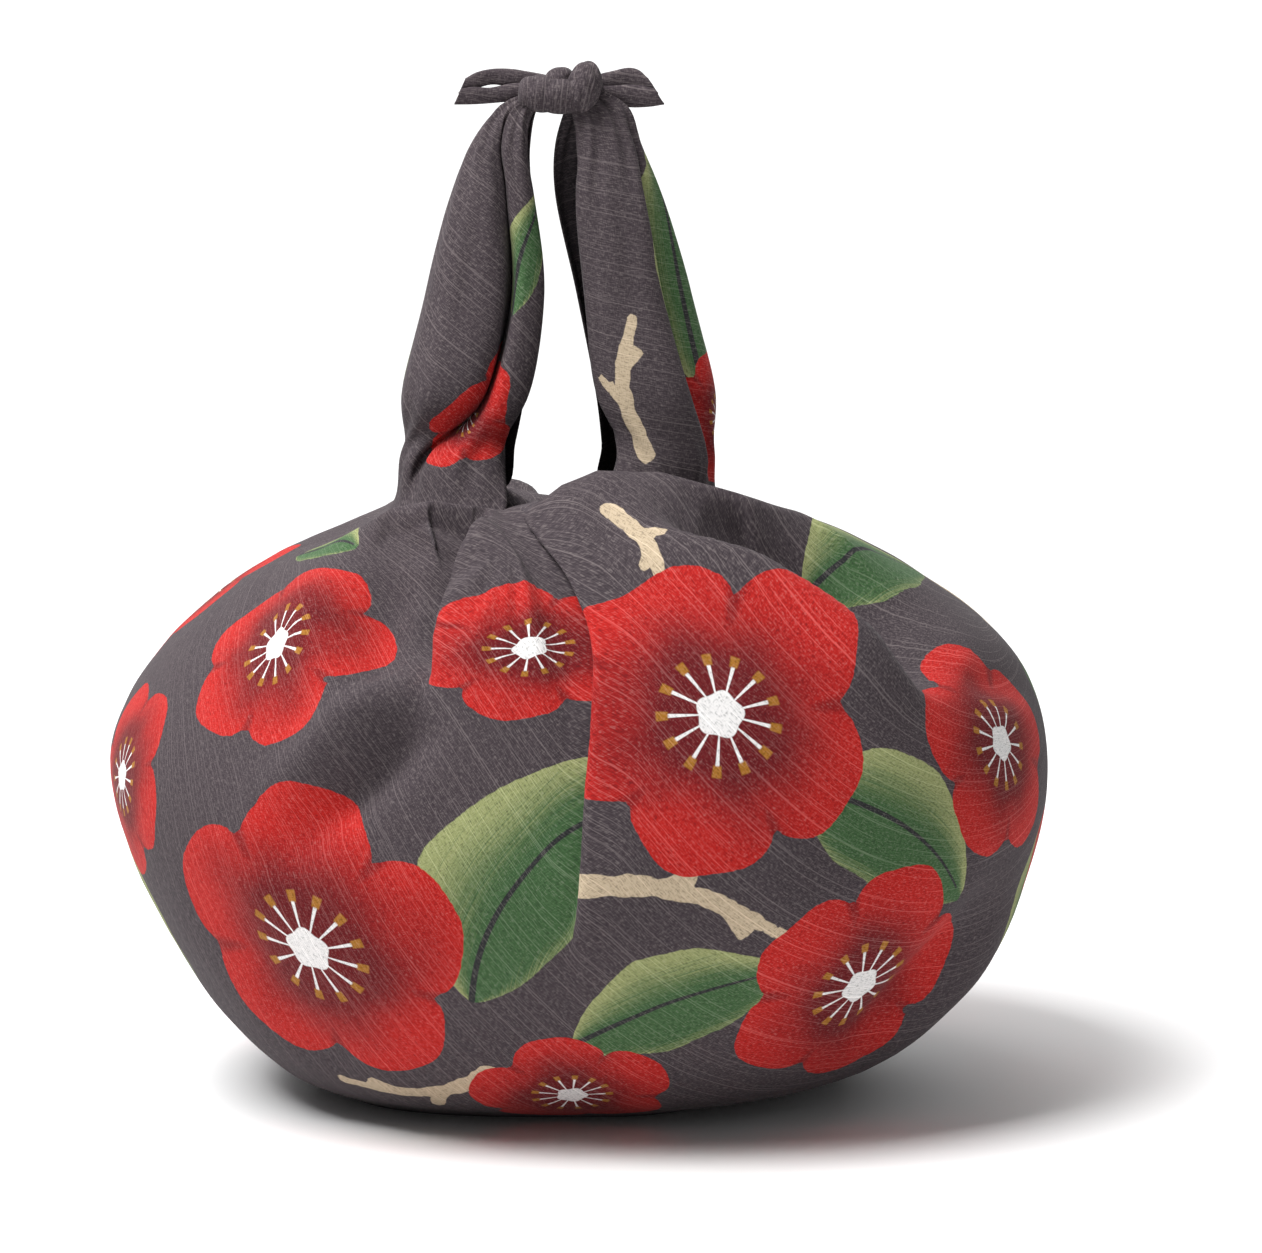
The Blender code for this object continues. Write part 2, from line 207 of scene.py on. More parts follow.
@dataclass(frozen=True)
class Curve:
    """A curve over three points of one side of the sack, in mm, seen from that side."""

    name: str
    side: Side
    x0: float
    z0: float
    x1: float
    z1: float
    x2: float
    z2: float

    def beside(
        self, places: np.ndarray
    ) -> tuple[np.ndarray, np.ndarray, np.ndarray, np.ndarray]:
        """Where places lie beside the curve.

        Args:
            places: x and z of each place, in metres.

        Returns:
            The share of the curve's length beside each place, how far above the curve the
            place is, how far away, and which way is straight across the curve.
        """
        steps = np.linspace(0, 1, CURVE_SAMPLES)
        weights = ((1 - steps) ** 2, 2 * steps * (1 - steps), steps ** 2)
        xs = sum(weight * x for weight, x in zip(weights, (self.x0, self.x1, self.x2)))
        zs = sum(weight * z for weight, z in zip(weights, (self.z0, self.z1, self.z2)))
        line = np.column_stack((xs, zs)) * MM
        heading = np.gradient(line, axis=0)
        heading /= np.linalg.norm(heading, axis=1, keepdims=True)
        offset = places[:, None, :] - line[None, :, :]
        near = np.linalg.norm(offset, axis=2).argmin(axis=1)
        gap = offset[np.arange(len(places)), near]
        ahead = heading[near]
        across = np.column_stack((-ahead[:, 1], ahead[:, 0]))
        signed = (gap * across).sum(axis=1)
        run = (gap * ahead).sum(axis=1)
        inside = (near > 0) & (near < len(steps) - 1)
        away = np.where(inside, np.abs(signed), np.hypot(signed, run))
        return steps[near], signed, away, across

    def faced(self, facing: np.ndarray) -> np.ndarray:
        """How much each point belongs to the curve's side, by how much it faces the back."""
        return np.clip(FACING_GAIN * facing * self.side.value, 0, 1)


@dataclass(frozen=True)
class Fold(Curve):
    """A long ridge, or a trough if its height is below 0, in mm."""

    height: float
    above: float
    below: float

    def rise(self, places: np.ndarray, facing: np.ndarray) -> np.ndarray:
        """How far the fold lifts the sheet.

        Args:
            places: x and z of the sheet's points.
            facing: how much each point faces the back, from -1 to 1.

        Returns:
            The lift of each point, in metres.
        """
        share, signed, away, _ = self.beside(places)
        strength = np.sin(np.pi * np.clip(share, 0.03, 0.97)) ** 0.8
        width = np.where(signed >= 0, self.above, self.below) * MM
        shape = np.exp(-(away / width) ** 2)
        return self.height * MM * strength * shape * self.faced(facing)


@dataclass(frozen=True)
class Pleat(Curve):
    """A fold that laps over the cloth beside it, in mm.

    The layer above the curve, seen with the curve running to the right, lies outside if
    over is 1, and the layer below it if over is -1. The lip that is rolled over has the
    width roll and is pushed along by turn times that.
    """

    over: int
    lift: float
    sink: float
    reach: float
    roll: float = 7.0
    turn: float = 2.6
    fades: float = 0.45
    begins: float = 0.07
    past_full: float = 3.0
    past_fade: float = 6.0

    def moves(self, points: np.ndarray, normals: np.ndarray) -> np.ndarray:
        """How the pleat moves the sheet.

        Args:
            points: points of the sheet.
            normals: their normals.

        Returns:
            The move of each point, in metres.
        """
        share, signed, away, across = self.beside(points[:, [0, 2]])
        level = np.column_stack((across[:, 0], np.zeros(len(points)), across[:, 1]))
        level -= (level * normals).sum(axis=1, keepdims=True) * normals
        level /= np.maximum(np.linalg.norm(level, axis=1, keepdims=True), TINY)
        held = smooth(0.0, self.begins, share) * smooth(1.0, 1 - self.fades, share)
        held *= self.faced(normals[:, 1])
        past = np.sqrt(np.maximum(away ** 2 - signed ** 2, 0)) / MM
        held *= np.where(past < self.past_full, 1, np.exp(-(past / self.past_fade) ** 2))
        roll = self.roll * MM
        over = signed * self.over
        slide = -self.turn * signed * np.exp(-(signed / roll) ** 2)
        beyond = np.maximum(over - 0.5 * roll, 0) / (self.reach * MM)
        hump = self.lift * np.exp(-beyond ** 2)
        hump = np.where(beyond > 0, hump, self.lift * smooth(-roll, 0.5 * roll, over))
        dip = self.sink * smooth(roll, -0.9 * roll, over)
        dip *= np.exp(-np.maximum(-over - roll, 0) / (self.reach * MM))
        lift = (hump - dip) * MM * held
        return lift[:, None] * normals + (slide * held)[:, None] * level


def spline_rows(stations: np.ndarray, steps: list[int]) -> np.ndarray:
    """Smooth curves through rows of stations, all columns at once.

    Args:
        stations: one row of points for each station.
        steps: how many rows each span between two stations is cut into.

    Returns:
        The rows of all spans, with the last station as the last row.
    """
    first = 2 * stations[0] - stations[1]
    last = 2 * stations[-1] - stations[-2]
    rows = np.concatenate((first[None], stations, last[None]))
    out = []
    for i, count in enumerate(steps, start=1):
        p0, p1, p2, p3 = rows[i - 1:i + 3]
        d1, d2, d3 = (
            np.maximum(np.linalg.norm(b - a, axis=-1, keepdims=True), 1e-6) ** 0.5
            for a, b in ((p0, p1), (p1, p2), (p2, p3))
        )
        m1 = d2 * ((p1 - p0) / d1 - (p2 - p0) / (d1 + d2) + (p2 - p1) / d2)
        m2 = d2 * ((p2 - p1) / d2 - (p3 - p1) / (d2 + d3) + (p3 - p2) / d3)
        for k in range(count):
            t = k / count
            out.append(
                (2 * t ** 3 - 3 * t ** 2 + 1) * p1
                + (t ** 3 - 2 * t ** 2 + t) * m1
                + (3 * t ** 2 - 2 * t ** 3) * p2
                + (t ** 3 - t ** 2) * m2
            )
    out.append(stations[-1])
    return np.array(out)


def resampled(points: np.ndarray, places: np.ndarray, steps: int = 10) -> np.ndarray:
    """Points at even shares of the length of a smooth curve.

    Args:
        points: what the curve passes through.
        places: shares of its length, from 0 to 1.
        steps: how finely each span is measured.

    Returns:
        One point for each place.
    """
    dense = spline_rows(points[:, None, :], [steps] * (len(points) - 1))[:, 0]
    length = np.concatenate(([0], np.cumsum(np.linalg.norm(np.diff(dense, axis=0), axis=1))))
    wanted = places * length[-1]
    return np.column_stack([np.interp(wanted, length, dense[:, axis]) for axis in range(3)])


def smooth(low: float, high: float, value: np.ndarray) -> np.ndarray:
    """Rise softly from 0 at low to 1 at high."""
    t = np.clip((value - low) / (high - low), 0, 1)
    return t * t * (3 - 2 * t)


@dataclass
class PrintFields:
    """What is printed at each point, as distances in metres and places in a motif."""

    blossom: np.ndarray
    leaf: np.ndarray
    twig: np.ndarray
    in_blossom: np.ndarray
    in_leaf: np.ndarray

    @classmethod
    def bare(cls, count: int) -> PrintFields:
        """Fields of cloth with nothing printed on it."""
        far = [np.full(count, BARE) for _ in range(3)]
        return cls(*far, np.full((count, 3), FAR), np.full((count, 3), FAR))

    def lay(self, name: str, inside: np.ndarray, place: np.ndarray | None = None) -> None:
        """Lay a motif over what is there.

        Args:
            name: the field, which is also the end of the name of its places.
            inside: how far each point lies inside the motif.
            place: where in the motif each point lies.
        """
        before = getattr(self, name)
        if place is not None:
            getattr(self, "in_" + name)[inside > before] = place[inside > before]
        setattr(self, name, np.maximum(before, inside))


@dataclass(frozen=True)
class Motif:
    """A printed motif at a place of one side, in mm, turned by an angle in degrees."""

    side: Side
    x: float
    z: float
    turn: float
    size: float

    def flat_places(
        self, places: np.ndarray, normals: np.ndarray
    ) -> tuple[np.ndarray, np.ndarray]:
        """Flat coordinates of the cloth around the motif.

        Args:
            places: points of the cloth, before its small folds.
            normals: their normals.

        Returns:
            Coordinates in metres, turned with the motif, and which points it can reach.
        """
        gap = np.linalg.norm(places[:, [0, 2]] - np.array((self.x, self.z)) * MM, axis=1)
        home = int((gap + FAR * (normals[:, 1] * self.side.value < 0.02)).argmin())
        out = normals[home]
        along = np.cross((0.0, 0.0, 1.0), out)
        along /= max(float(np.linalg.norm(along)), 1e-6)
        up = np.cross(out, along)
        offset = places - places[home]
        flat = np.column_stack((offset @ along, offset @ up))
        reach = np.linalg.norm(offset, axis=1)
        stretch = reach / np.maximum(np.linalg.norm(flat, axis=1), 1e-6)
        flat *= np.clip(stretch, 1, 1.6)[:, None]
        turn = math.radians(self.turn)
        right = np.array((math.cos(turn), math.sin(turn)))
        left = np.array((-math.sin(turn), math.cos(turn)))
        near = (normals @ out > -0.3) & (reach < 1.2 * self.size * MM)
        return np.column_stack((flat @ right, flat @ left)), near

    def outline(self, flat: np.ndarray) -> tuple[str, np.ndarray, np.ndarray | None]:
        """The shape of the motif.

        Args:
            flat: flat coordinates around its middle, in metres.

        Returns:
            The name of its field, how far each point lies inside it, and where in it.
        """
        raise NotImplementedError

    def lay(self, fields: PrintFields, places: np.ndarray, normals: np.ndarray) -> None:
        """Print the motif.

        Args:
            fields: what is printed so far.
            places: points of the cloth, before its small folds.
            normals: their normals.
        """
        flat, near = self.flat_places(places, normals)
        name, inside, place = self.outline(flat)
        fields.lay(name, np.where(near, inside, BARE), place)


@dataclass(frozen=True)
class Blossom(Motif):
    """A red blossom of five round petals."""

    petals: int = 5

    def outline(self, flat: np.ndarray) -> tuple[str, np.ndarray, np.ndarray | None]:
        """The shape of the blossom: round petals with a slightly uneven edge.

        Args:
            flat: flat coordinates around its middle, in metres.

        Returns:
            The name of its field, how far each point lies inside it, and where in it.
        """
        radius = self.size * MM / 2
        angle = np.arctan2(flat[:, 1], flat[:, 0])
        petal = np.abs(np.cos(angle * self.petals / 2))
        edge = radius * (0.74 + 0.26 * petal ** 0.55)
        edge *= 1 + 0.015 * np.sin(angle * 7 + self.x) + 0.010 * np.sin(angle * 12 + self.z)
        seed = np.full(len(flat), (self.x * 0.37 + self.z * 0.11) % 5)
        place = np.column_stack((flat / radius, seed))
        return "blossom", edge - np.linalg.norm(flat, axis=1), place


@dataclass(frozen=True)
class Leaf(Motif):
    """A plain pointed leaf."""

    slimness: float = 0.27
    bend: float = 0.09

    def outline(self, flat: np.ndarray) -> tuple[str, np.ndarray, np.ndarray | None]:
        """The shape of the leaf, along a bent rib.

        Args:
            flat: flat coordinates around its middle, in metres.

        Returns:
            The name of its field, how far each point lies inside it, and where in it.
        """
        length = self.size * MM
        along = flat[:, 0] / length + 0.5
        held = np.clip(along, 0, 1)
        side = flat[:, 1] - self.bend * length * np.sin(np.pi * held)
        half = self.slimness * length * np.sin(np.pi * held ** 0.85) ** 0.85
        half *= 1 + 0.03 * np.sin(along * 21 + self.x)
        beyond = np.maximum(np.abs(along - 0.5) - 0.5, 0) * length
        share = side / np.maximum(half, 0.002)
        inside = (half - np.abs(side)) * 0.8 - beyond * 1.5
        return "leaf", inside, np.column_stack((along, share, side / MM))


@dataclass(frozen=True)
class Shoot:
    """A side shoot of a twig: its place along the stem, its lean in degrees, its length."""

    place: float
    lean: float
    share: float


@dataclass(frozen=True)
class Twig(Motif):
    """A beige twig: a bent stem that tapers, with two short side shoots."""

    bend: float = 0.09
    width: float = 9.5
    shoots: tuple[Shoot, ...] = (Shoot(0.38, 52.0, 0.20), Shoot(0.66, -48.0, 0.15))

    def outline(self, flat: np.ndarray) -> tuple[str, np.ndarray, np.ndarray | None]:
        """The shape of the twig, knobbly along its stem.

        Args:
            flat: flat coordinates around its middle, in metres.

        Returns:
            The name of its field, how far each point lies inside it, and nothing more.
        """
        length = self.size * MM
        width = self.width * MM
        along = flat[:, 0] / length + 0.5
        held = np.clip(along, 0, 1)
        half = width / 2 * (1.05 - 0.5 * held)
        half *= 1 + 0.09 * np.sin(along * 34) + 0.06 * np.sin(along * 71 + 1)
        middle = self.bend * length * np.sin(np.pi * held * 1.15)
        beyond = np.maximum(np.abs(along - 0.5) - 0.5, 0) * length
        stem = half - np.hypot(flat[:, 1] - middle, beyond)
        for shoot in self.shoots:
            lean = math.radians(shoot.lean)
            heading = np.array((math.cos(lean), math.sin(lean)))
            rise = self.bend * length * math.sin(math.pi * shoot.place * 1.15)
            offset = flat - np.array(((shoot.place - 0.5) * length, rise))
            reach = shoot.share * length
            run = np.clip(offset @ heading, 0, reach)
            gap = np.linalg.norm(offset - run[:, None] * heading, axis=1)
            stem = np.maximum(stem, width * (0.40 - 0.10 * run / reach) - gap)
        return "twig", stem, None


# Short for the two sides in the tables
F, B = Side.FRONT, Side.BACK

SACK_PRINT: tuple[Motif, ...] = (
    Blossom(F, -108, 84, 12, 138),
    Blossom(F, 58, 184, 40, 130),
    Blossom(F, 116, 66, 75, 112),
    Blossom(F, -118, 203, 20, 90),
    Blossom(F, -36, 208, 46, 60),
    Blossom(F, -188, 140, 55, 84),
    Blossom(F, 174, 158, 15, 98),
    Blossom(F, -2, 20, 30, 84),
    Leaf(F, -20, 122, 68, 124),
    Leaf(F, 128, 128, -34, 104),
    Leaf(F, -104, 236, 28, 50, 0.25),
    Leaf(F, 44, 60, 24, 96),
    Leaf(F, 126, 226, -24, 92),
    Leaf(F, -178, 84, -70, 84, 0.25),
    Leaf(F, 188, 88, 64, 88, 0.25),
    Twig(F, 46, 106, -14, 92),
    Twig(F, -66, 24, 196, 72),
    Twig(F, 24, 244, -70, 46, 0.05, 8.0),
    Blossom(B, 104, 88, 30, 132),
    Blossom(B, -58, 176, 64, 124),
    Blossom(B, -124, 64, 10, 110),
    Blossom(B, 86, 202, 5, 98),
    Blossom(B, -14, 36, 40, 96),
    Leaf(B, 24, 116, 62, 112),
    Leaf(B, -140, 142, -42, 100),
    Leaf(B, 152, 158, 124, 92, 0.25),
    Leaf(B, 14, 222, 10, 74),
    Blossom(B, 192, 92, 20, 94),
    Blossom(B, -152, 206, 70, 84),
    Leaf(B, -176, 100, 64, 92, 0.25),
    Leaf(B, 196, 148, -70, 70),
    Twig(B, 168, 196, 100, 64),
    Twig(B, -60, 104, -20, 86),
    Twig(B, 48, 44, 30, 60),
)

# On a strap a place is given by the way around it from its middle, and by its height
RIGHT_STRAP_PRINT: tuple[Motif, ...] = (
    Leaf(F, 4, 352, 84, 112, 0.20, 0.04),
    Blossom(F, 8, 284, 15, 62),
    Leaf(F, 52, 318, 96, 96, 0.22),
    Twig(F, -48, 300, 80, 60, 0.09, 7.5),
)
LEFT_STRAP_PRINT: tuple[Motif, ...] = (
    Blossom(F, 46, 296, 30, 66),
    Leaf(F, -34, 330, 82, 110, 0.20),
    Blossom(F, -46, 282, 10, 58),
    Leaf(F, 60, 372, 88, 62, 0.2),
)


@dataclass(frozen=True)
class Recipe:
    """What a node is: the last word of its type, a setting, its inputs in order, its output."""

    kind: str
    setting: str = "label"
    choice: str = ""
    inputs: tuple[int | str, ...] = (0, 1, 2)
    output: int | str = 0


class Step(Enum):
    """The steps that the cloth's colour and relief are worked out in."""

    PLUS = Recipe("Math", "operation", "ADD")
    MINUS = Recipe("Math", "operation", "SUBTRACT")
    TIMES = Recipe("Math", "operation", "MULTIPLY")
    OVER = Recipe("Math", "operation", "DIVIDE")
    TIMES_PLUS = Recipe("Math", "operation", "MULTIPLY_ADD")
    LARGER = Recipe("Math", "operation", "MAXIMUM")
    SIZE = Recipe("Math", "operation", "ABSOLUTE")
    ROOT = Recipe("Math", "operation", "SQRT")
    SINE = Recipe("Math", "operation", "SINE")
    COSINE = Recipe("Math", "operation", "COSINE")
    ANGLE = Recipe("Math", "operation", "ARCTAN2")
    FLOOR = Recipe("Math", "operation", "FLOOR")
    PART = Recipe("Math", "operation", "FRACT")
    # From 0 at the second value to 1 at the third, softly, also where that is the smaller
    RAMP = Recipe("MapRange", "interpolation_type", "SMOOTHSTEP")
    MIX = Recipe("Mix", "data_type", "RGBA", (0, 6, 7), 2)
    COLOUR = Recipe("RGB")
    PLACE = Recipe("TexCoord", output="Object")
    NUMBER = Recipe("Attribute", output="Fac")
    NUMBERS = Recipe("Attribute", output="Vector")
    SPLIT = Recipe("SeparateXYZ")
    JOIN = Recipe("CombineXYZ")
    SCALE = Recipe("VectorMath", "operation", "SCALE", (0, "Scale"))
    NOISE = Recipe("TexNoise", inputs=("Vector", "Detail", "Scale", "Roughness"))
    SWELL = Recipe("TexNoise", "noise_dimensions", "1D", ("W", "Detail", "Scale"))
    CHANCE = Recipe("TexWhiteNoise", "noise_dimensions", "1D", ("W",))
    RELIEF = Recipe("Bump", inputs=("Height", "Strength", "Distance"))


@dataclass
class Graph:
    """A material's nodes, added one by one."""

    tree: bpy.types.NodeTree

    def add(self, step: Step, *values: Socket | float | Colour, **settings: str) -> Socket:
        """Add a node with its settings and links.

        Args:
            step: what the node does.
            values: a value or a socket for each of its inputs, in order.
            settings: more properties of the node.

        Returns:
            Its output.
        """
        recipe = step.value
        node = self.tree.nodes.new("ShaderNode" + recipe.kind)
        for key, choice in {recipe.setting: recipe.choice, **settings}.items():
            setattr(node, key, choice)
        for key, value in zip(recipe.inputs, values):
            if isinstance(value, bpy.types.NodeSocket):
                self.tree.links.new(value, node.inputs[key])
            else:
                node.inputs[key].default_value = value
        return node.outputs[recipe.output]


@dataclass(frozen=True)
class SlubCotton:
    """Slub cotton, woven plain, dyed and then screen printed on its face.

    The yarns are spun unevenly and take the dye unevenly, which gives the eye a matt,
    finely mottled ground. Here and there a weft yarn was spun thick and soft: it stands
    up a little and takes less dye, so it shows as a fine lighter line. The ink has crisp
    edges and fades softly within a motif.
    """

    name: str = "slub_cotton_printed"
    printed: bool = True
    ground: str = "#443C40"
    red: str = "#B3201C"
    red_deep: str = "#581016"
    green: str = "#3F5E3A"
    green_pale: str = "#989D6A"
    rib: str = "#2D2E2F"
    beige: str = "#BBA98F"
    white: str = "#E2E0DF"
    ochre: str = "#9C6822"
    slub_tint: str = "#C9BEB8"
    roughness: float = 0.90
    specular: float = 0.14
    sheen: float = 0.03
    sheen_roughness: float = 0.45
    # The ink's edge: how far it wanders, how long its waves are and how soft it is, in mm
    edge_wander: float = 1.2
    edge_wave: float = 3.846
    edge_softness: float = 0.22
    # Parts of a blossom, as shares of its radius
    petals: int = 5
    stamens: int = 13
    stamen_reach: float = 0.36
    eye_reach: float = 0.145

    def material(self) -> bpy.types.Material:
        """The material with its weave and print.

        Returns:
            A material that reads the sheet's own coordinates.
        """
        material = principled(self.name, {
            "Roughness": self.roughness,
            "Metallic": 0.0,
            "Specular IOR Level": self.specular,
            "Sheen Weight": self.sheen,
            "Sheen Roughness": self.sheen_roughness,
        })
        tree = material.node_tree
        shader = tree.nodes["Principled BSDF"]
        graph = Graph(tree)
        weave = Weave(graph)
        colour = weave.tinted(self.dyed(graph), linear(self.slub_tint))
        tree.links.new(colour, shader.inputs["Base Color"])
        tree.links.new(weave.relief(), shader.inputs["Normal"])
        return material

    def dyed(self, graph: Graph) -> Socket:
        """The colour of the dyed ground and of what is printed on it.

        Args:
            graph: where the nodes go.

        Returns:
            The colour socket.
        """
        add = graph.add
        colour = add(Step.COLOUR)
        colour.default_value = linear(self.ground)
        if not self.printed:
            return colour
        place = add(Step.SCALE, add(Step.PLACE), 1 / (self.edge_wave * MM))
        wander = add(Step.MINUS, add(Step.NOISE, place, 2.0, 1.0, NOISE_ROUGHNESS), 0.5)
        edge = add(Step.TIMES, wander, self.edge_wander * MM)
        half = self.edge_softness * MM
        inks = {
            "twig": linear(self.beige),
            "leaf": self.leaf_colour(graph),
            "blossom": self.blossom_colour(graph),
        }
        for name, ink in inks.items():
            distance = add(Step.PLUS, add(Step.NUMBER, attribute_name=name), edge)
            colour = add(Step.MIX, add(Step.RAMP, distance, -half, half), colour, ink)
        return colour

    def blossom_colour(self, graph: Graph) -> Socket:
        """Red that deepens around the middle, a white eye and a ring of ochre stamens.

        Args:
            graph: where the nodes go.

        Returns:
            The colour socket.
        """
        add = graph.add
        place = add(Step.NUMBERS, attribute_name="in_blossom")
        x, y, seed = add(Step.SPLIT, place).node.outputs
        reach = add(Step.ROOT, add(Step.PLUS, add(Step.TIMES, x, x), add(Step.TIMES, y, y)))
        angle = add(Step.ANGLE, y, x)
        cloud = add(Step.NOISE, add(Step.SCALE, place, 1.7), 1.0, 1.0, NOISE_ROUGHNESS)
        pull = add(Step.TIMES_PLUS, add(Step.MINUS, cloud, 0.5), 0.55, reach)
        near = add(Step.RAMP, pull, 0.92, 0.28)
        lobes = add(Step.SIZE, add(Step.COSINE, add(Step.TIMES, angle, self.petals / 2)))
        outer = add(Step.RAMP, reach, 0.30, 0.75)
        seam = add(Step.TIMES, add(Step.RAMP, lobes, 0.30, 0.02), outer)
        deep = add(Step.LARGER, add(Step.TIMES, near, 0.92), add(Step.TIMES, seam, 0.6))
        colour = add(Step.MIX, deep, linear(self.red), linear(self.red_deep))
        rays = add(Step.COSINE, add(Step.TIMES, angle, float(self.stamens)))
        inner = add(Step.RAMP, reach, self.stamen_reach, self.stamen_reach - 0.03)
        ray = add(Step.TIMES, add(Step.RAMP, rays, 0.80, 0.95), inner)
        colour = add(Step.MIX, ray, colour, linear(self.white))
        ring = add(Step.SIZE, add(Step.MINUS, reach, self.stamen_reach))
        tip = add(Step.TIMES, add(Step.RAMP, rays, 0.35, 0.70), add(Step.RAMP, ring, 0.045, 0.030))
        colour = add(Step.MIX, tip, colour, linear(self.ochre))
        wave = add(Step.SINE, add(Step.TIMES_PLUS, angle, float(self.petals), seed))
        rim = add(Step.TIMES_PLUS, wave, 0.012, reach)
        eye = add(Step.RAMP, rim, self.eye_reach + 0.005, self.eye_reach - 0.005)
        return add(Step.MIX, eye, colour, linear(self.white))

    def leaf_colour(self, graph: Graph) -> Socket:
        """Green, paler towards one edge and the tip, with a dark rib.

        Args:
            graph: where the nodes go.

        Returns:
            The colour socket.
        """
        add = graph.add
        place = add(Step.NUMBERS, attribute_name="in_leaf")
        along, share, side = add(Step.SPLIT, place).node.outputs
        cloud = add(Step.NOISE, add(Step.SCALE, place, 2.2), 1.0, 1.0, NOISE_ROUGHNESS)
        lift = add(Step.TIMES_PLUS, add(Step.MINUS, cloud, 0.5), 0.7, share)
        pale = add(Step.LARGER, add(Step.RAMP, lift, 0.10, 1.0), add(Step.RAMP, lift, -0.75, -1.25))
        pale = add(Step.TIMES, pale, 0.92)
        colour = add(Step.MIX, pale, linear(self.green), linear(self.green_pale))
        width = add(Step.TIMES_PLUS, along, -1.1, 1.5)
        rib = add(Step.RAMP, add(Step.MINUS, width, add(Step.SIZE, side)), -0.2, 0.2)
        rib = add(Step.TIMES, rib, add(Step.RAMP, along, 0.93, 0.91))
        return add(Step.MIX, rib, colour, linear(self.rib))


@dataclass(frozen=True)
class Slub:
    """Thick yarns of one kind, in mm: how far apart, how wide, how long, and how rare."""

    pitch: float
    width: float
    length: float
    limit: float


@dataclass
class Weave:
    """The plain weave of uneven yarns, from its coordinates in the cloth.

    The mesh gives each corner its place along the weft and across it, in mm. The yarns of
    such a cloth are about 0.3 mm wide, which is too fine to show, so they are drawn
    coarser, 0.46 mm wide. Their uneven spots are a little over 2 mm long.
    """

    graph: Graph
    yarn: float = 0.46
    weft_spot: float = 2.38
    warp_spot: float = 2.0
    slubs: tuple[Slub, ...] = (
        Slub(2.6, 0.34, 60.0, 0.55),
        Slub(6.1, 0.46, 120.0, 0.48),
        Slub(13.0, 0.62, 170.0, 0.47),
    )
    shade: Colour = (0.012, 0.010, 0.012, 1.0)
    relief_depth: float = 0.22
    relief_strength: float = 0.35

    def __post_init__(self) -> None:
        """Work out the yarns once for the colour and the relief."""
        place = self.graph.add(Step.NUMBERS, attribute_name="weave")
        along, across, patch = self.graph.add(Step.SPLIT, place).node.outputs
        self.weft = self.yarns(along, across, patch, self.weft_spot, self.yarn)
        self.warp = self.yarns(along, across, patch, self.yarn, self.warp_spot)
        self.slub = self.thick_yarns(along, across, patch)

    def yarns(
        self, along: Socket, across: Socket, patch: Socket, length: float, width: float
    ) -> Socket:
        """Uneven thin yarns that run one way.

        Args:
            along: the place along the weft.
            across: the place across it.
            patch: the number of the part of the cloth.
            length: the size of an uneven spot along the weft, in mm.
            width: its size across the weft, in mm.

        Returns:
            How light each point is.
        """
        add = self.graph.add
        x = add(Step.TIMES, along, 1 / length)
        y = add(Step.TIMES, across, 1 / width)
        return add(Step.NOISE, add(Step.JOIN, x, y, patch), 2.0, 1.0, NOISE_ROUGHNESS)

    def thick_yarns(self, along: Socket, across: Socket, patch: Socket) -> Socket:
        """Where a weft yarn is spun thick: long thin lines that swell and fade.

        Args:
            along: the place along the weft.
            across: the place across it.
            patch: the number of the part of the cloth.

        Returns:
            1 on such a yarn and 0 beside it.
        """
        add = self.graph.add
        lines = []
        for slub in self.slubs:
            place = add(Step.OVER, across, slub.pitch)
            row = add(Step.PLUS, add(Step.FLOOR, place), add(Step.TIMES, patch, 31.0))
            chance = add(Step.CHANCE, row)
            shift = add(Step.TIMES_PLUS, chance, 0.7, 0.15)
            gap = add(Step.SIZE, add(Step.MINUS, add(Step.PART, place), shift))
            run = add(Step.PLUS, add(Step.OVER, along, slub.length), add(Step.TIMES, chance, 97.0))
            swell = add(Step.SWELL, run, 1.5, 1.0)
            held = add(Step.RAMP, swell, slub.limit - 0.07, slub.limit + 0.07)
            beside = add(Step.TIMES, gap, slub.pitch)
            line = add(Step.RAMP, beside, slub.width / 2, slub.width * 0.1)
            lines.append(add(Step.TIMES, line, held))
        return add(Step.LARGER, add(Step.LARGER, lines[0], lines[1]), lines[2])

    def tinted(self, dyed: Socket, tint: Colour) -> Socket:
        """The dyed colour with lighter and darker yarns.

        Args:
            dyed: the colour of the dye and the print.
            tint: the colour of a yarn that took little dye.

        Returns:
            The colour socket.
        """
        add = self.graph.add
        grain = add(Step.PLUS, add(Step.TIMES, self.weft, 0.62), add(Step.TIMES, self.warp, 0.38))
        light = add(Step.TIMES, add(Step.RAMP, grain, 0.50, 0.66), 0.15)
        dark = add(Step.TIMES, add(Step.RAMP, grain, 0.52, 0.36), 0.48)
        colour = add(Step.MIX, light, dyed, tint)
        colour = add(Step.MIX, dark, colour, self.shade)
        softer = add(Step.MIX, 0.16, add(Step.SCALE, dyed, 1.5), tint)
        return add(Step.MIX, add(Step.TIMES, self.slub, 0.70), colour, softer)

    def relief(self) -> Socket:
        """The relief of the yarns, which is far finer than the mesh.

        Returns:
            The normal socket.
        """
        add = self.graph.add
        yarns = add(Step.PLUS, self.weft, add(Step.TIMES, self.warp, 0.7))
        height = add(Step.PLUS, add(Step.TIMES, yarns, 0.5), add(Step.TIMES, self.slub, 0.8))
        return add(Step.RELIEF, height, self.relief_strength, self.relief_depth * MM)


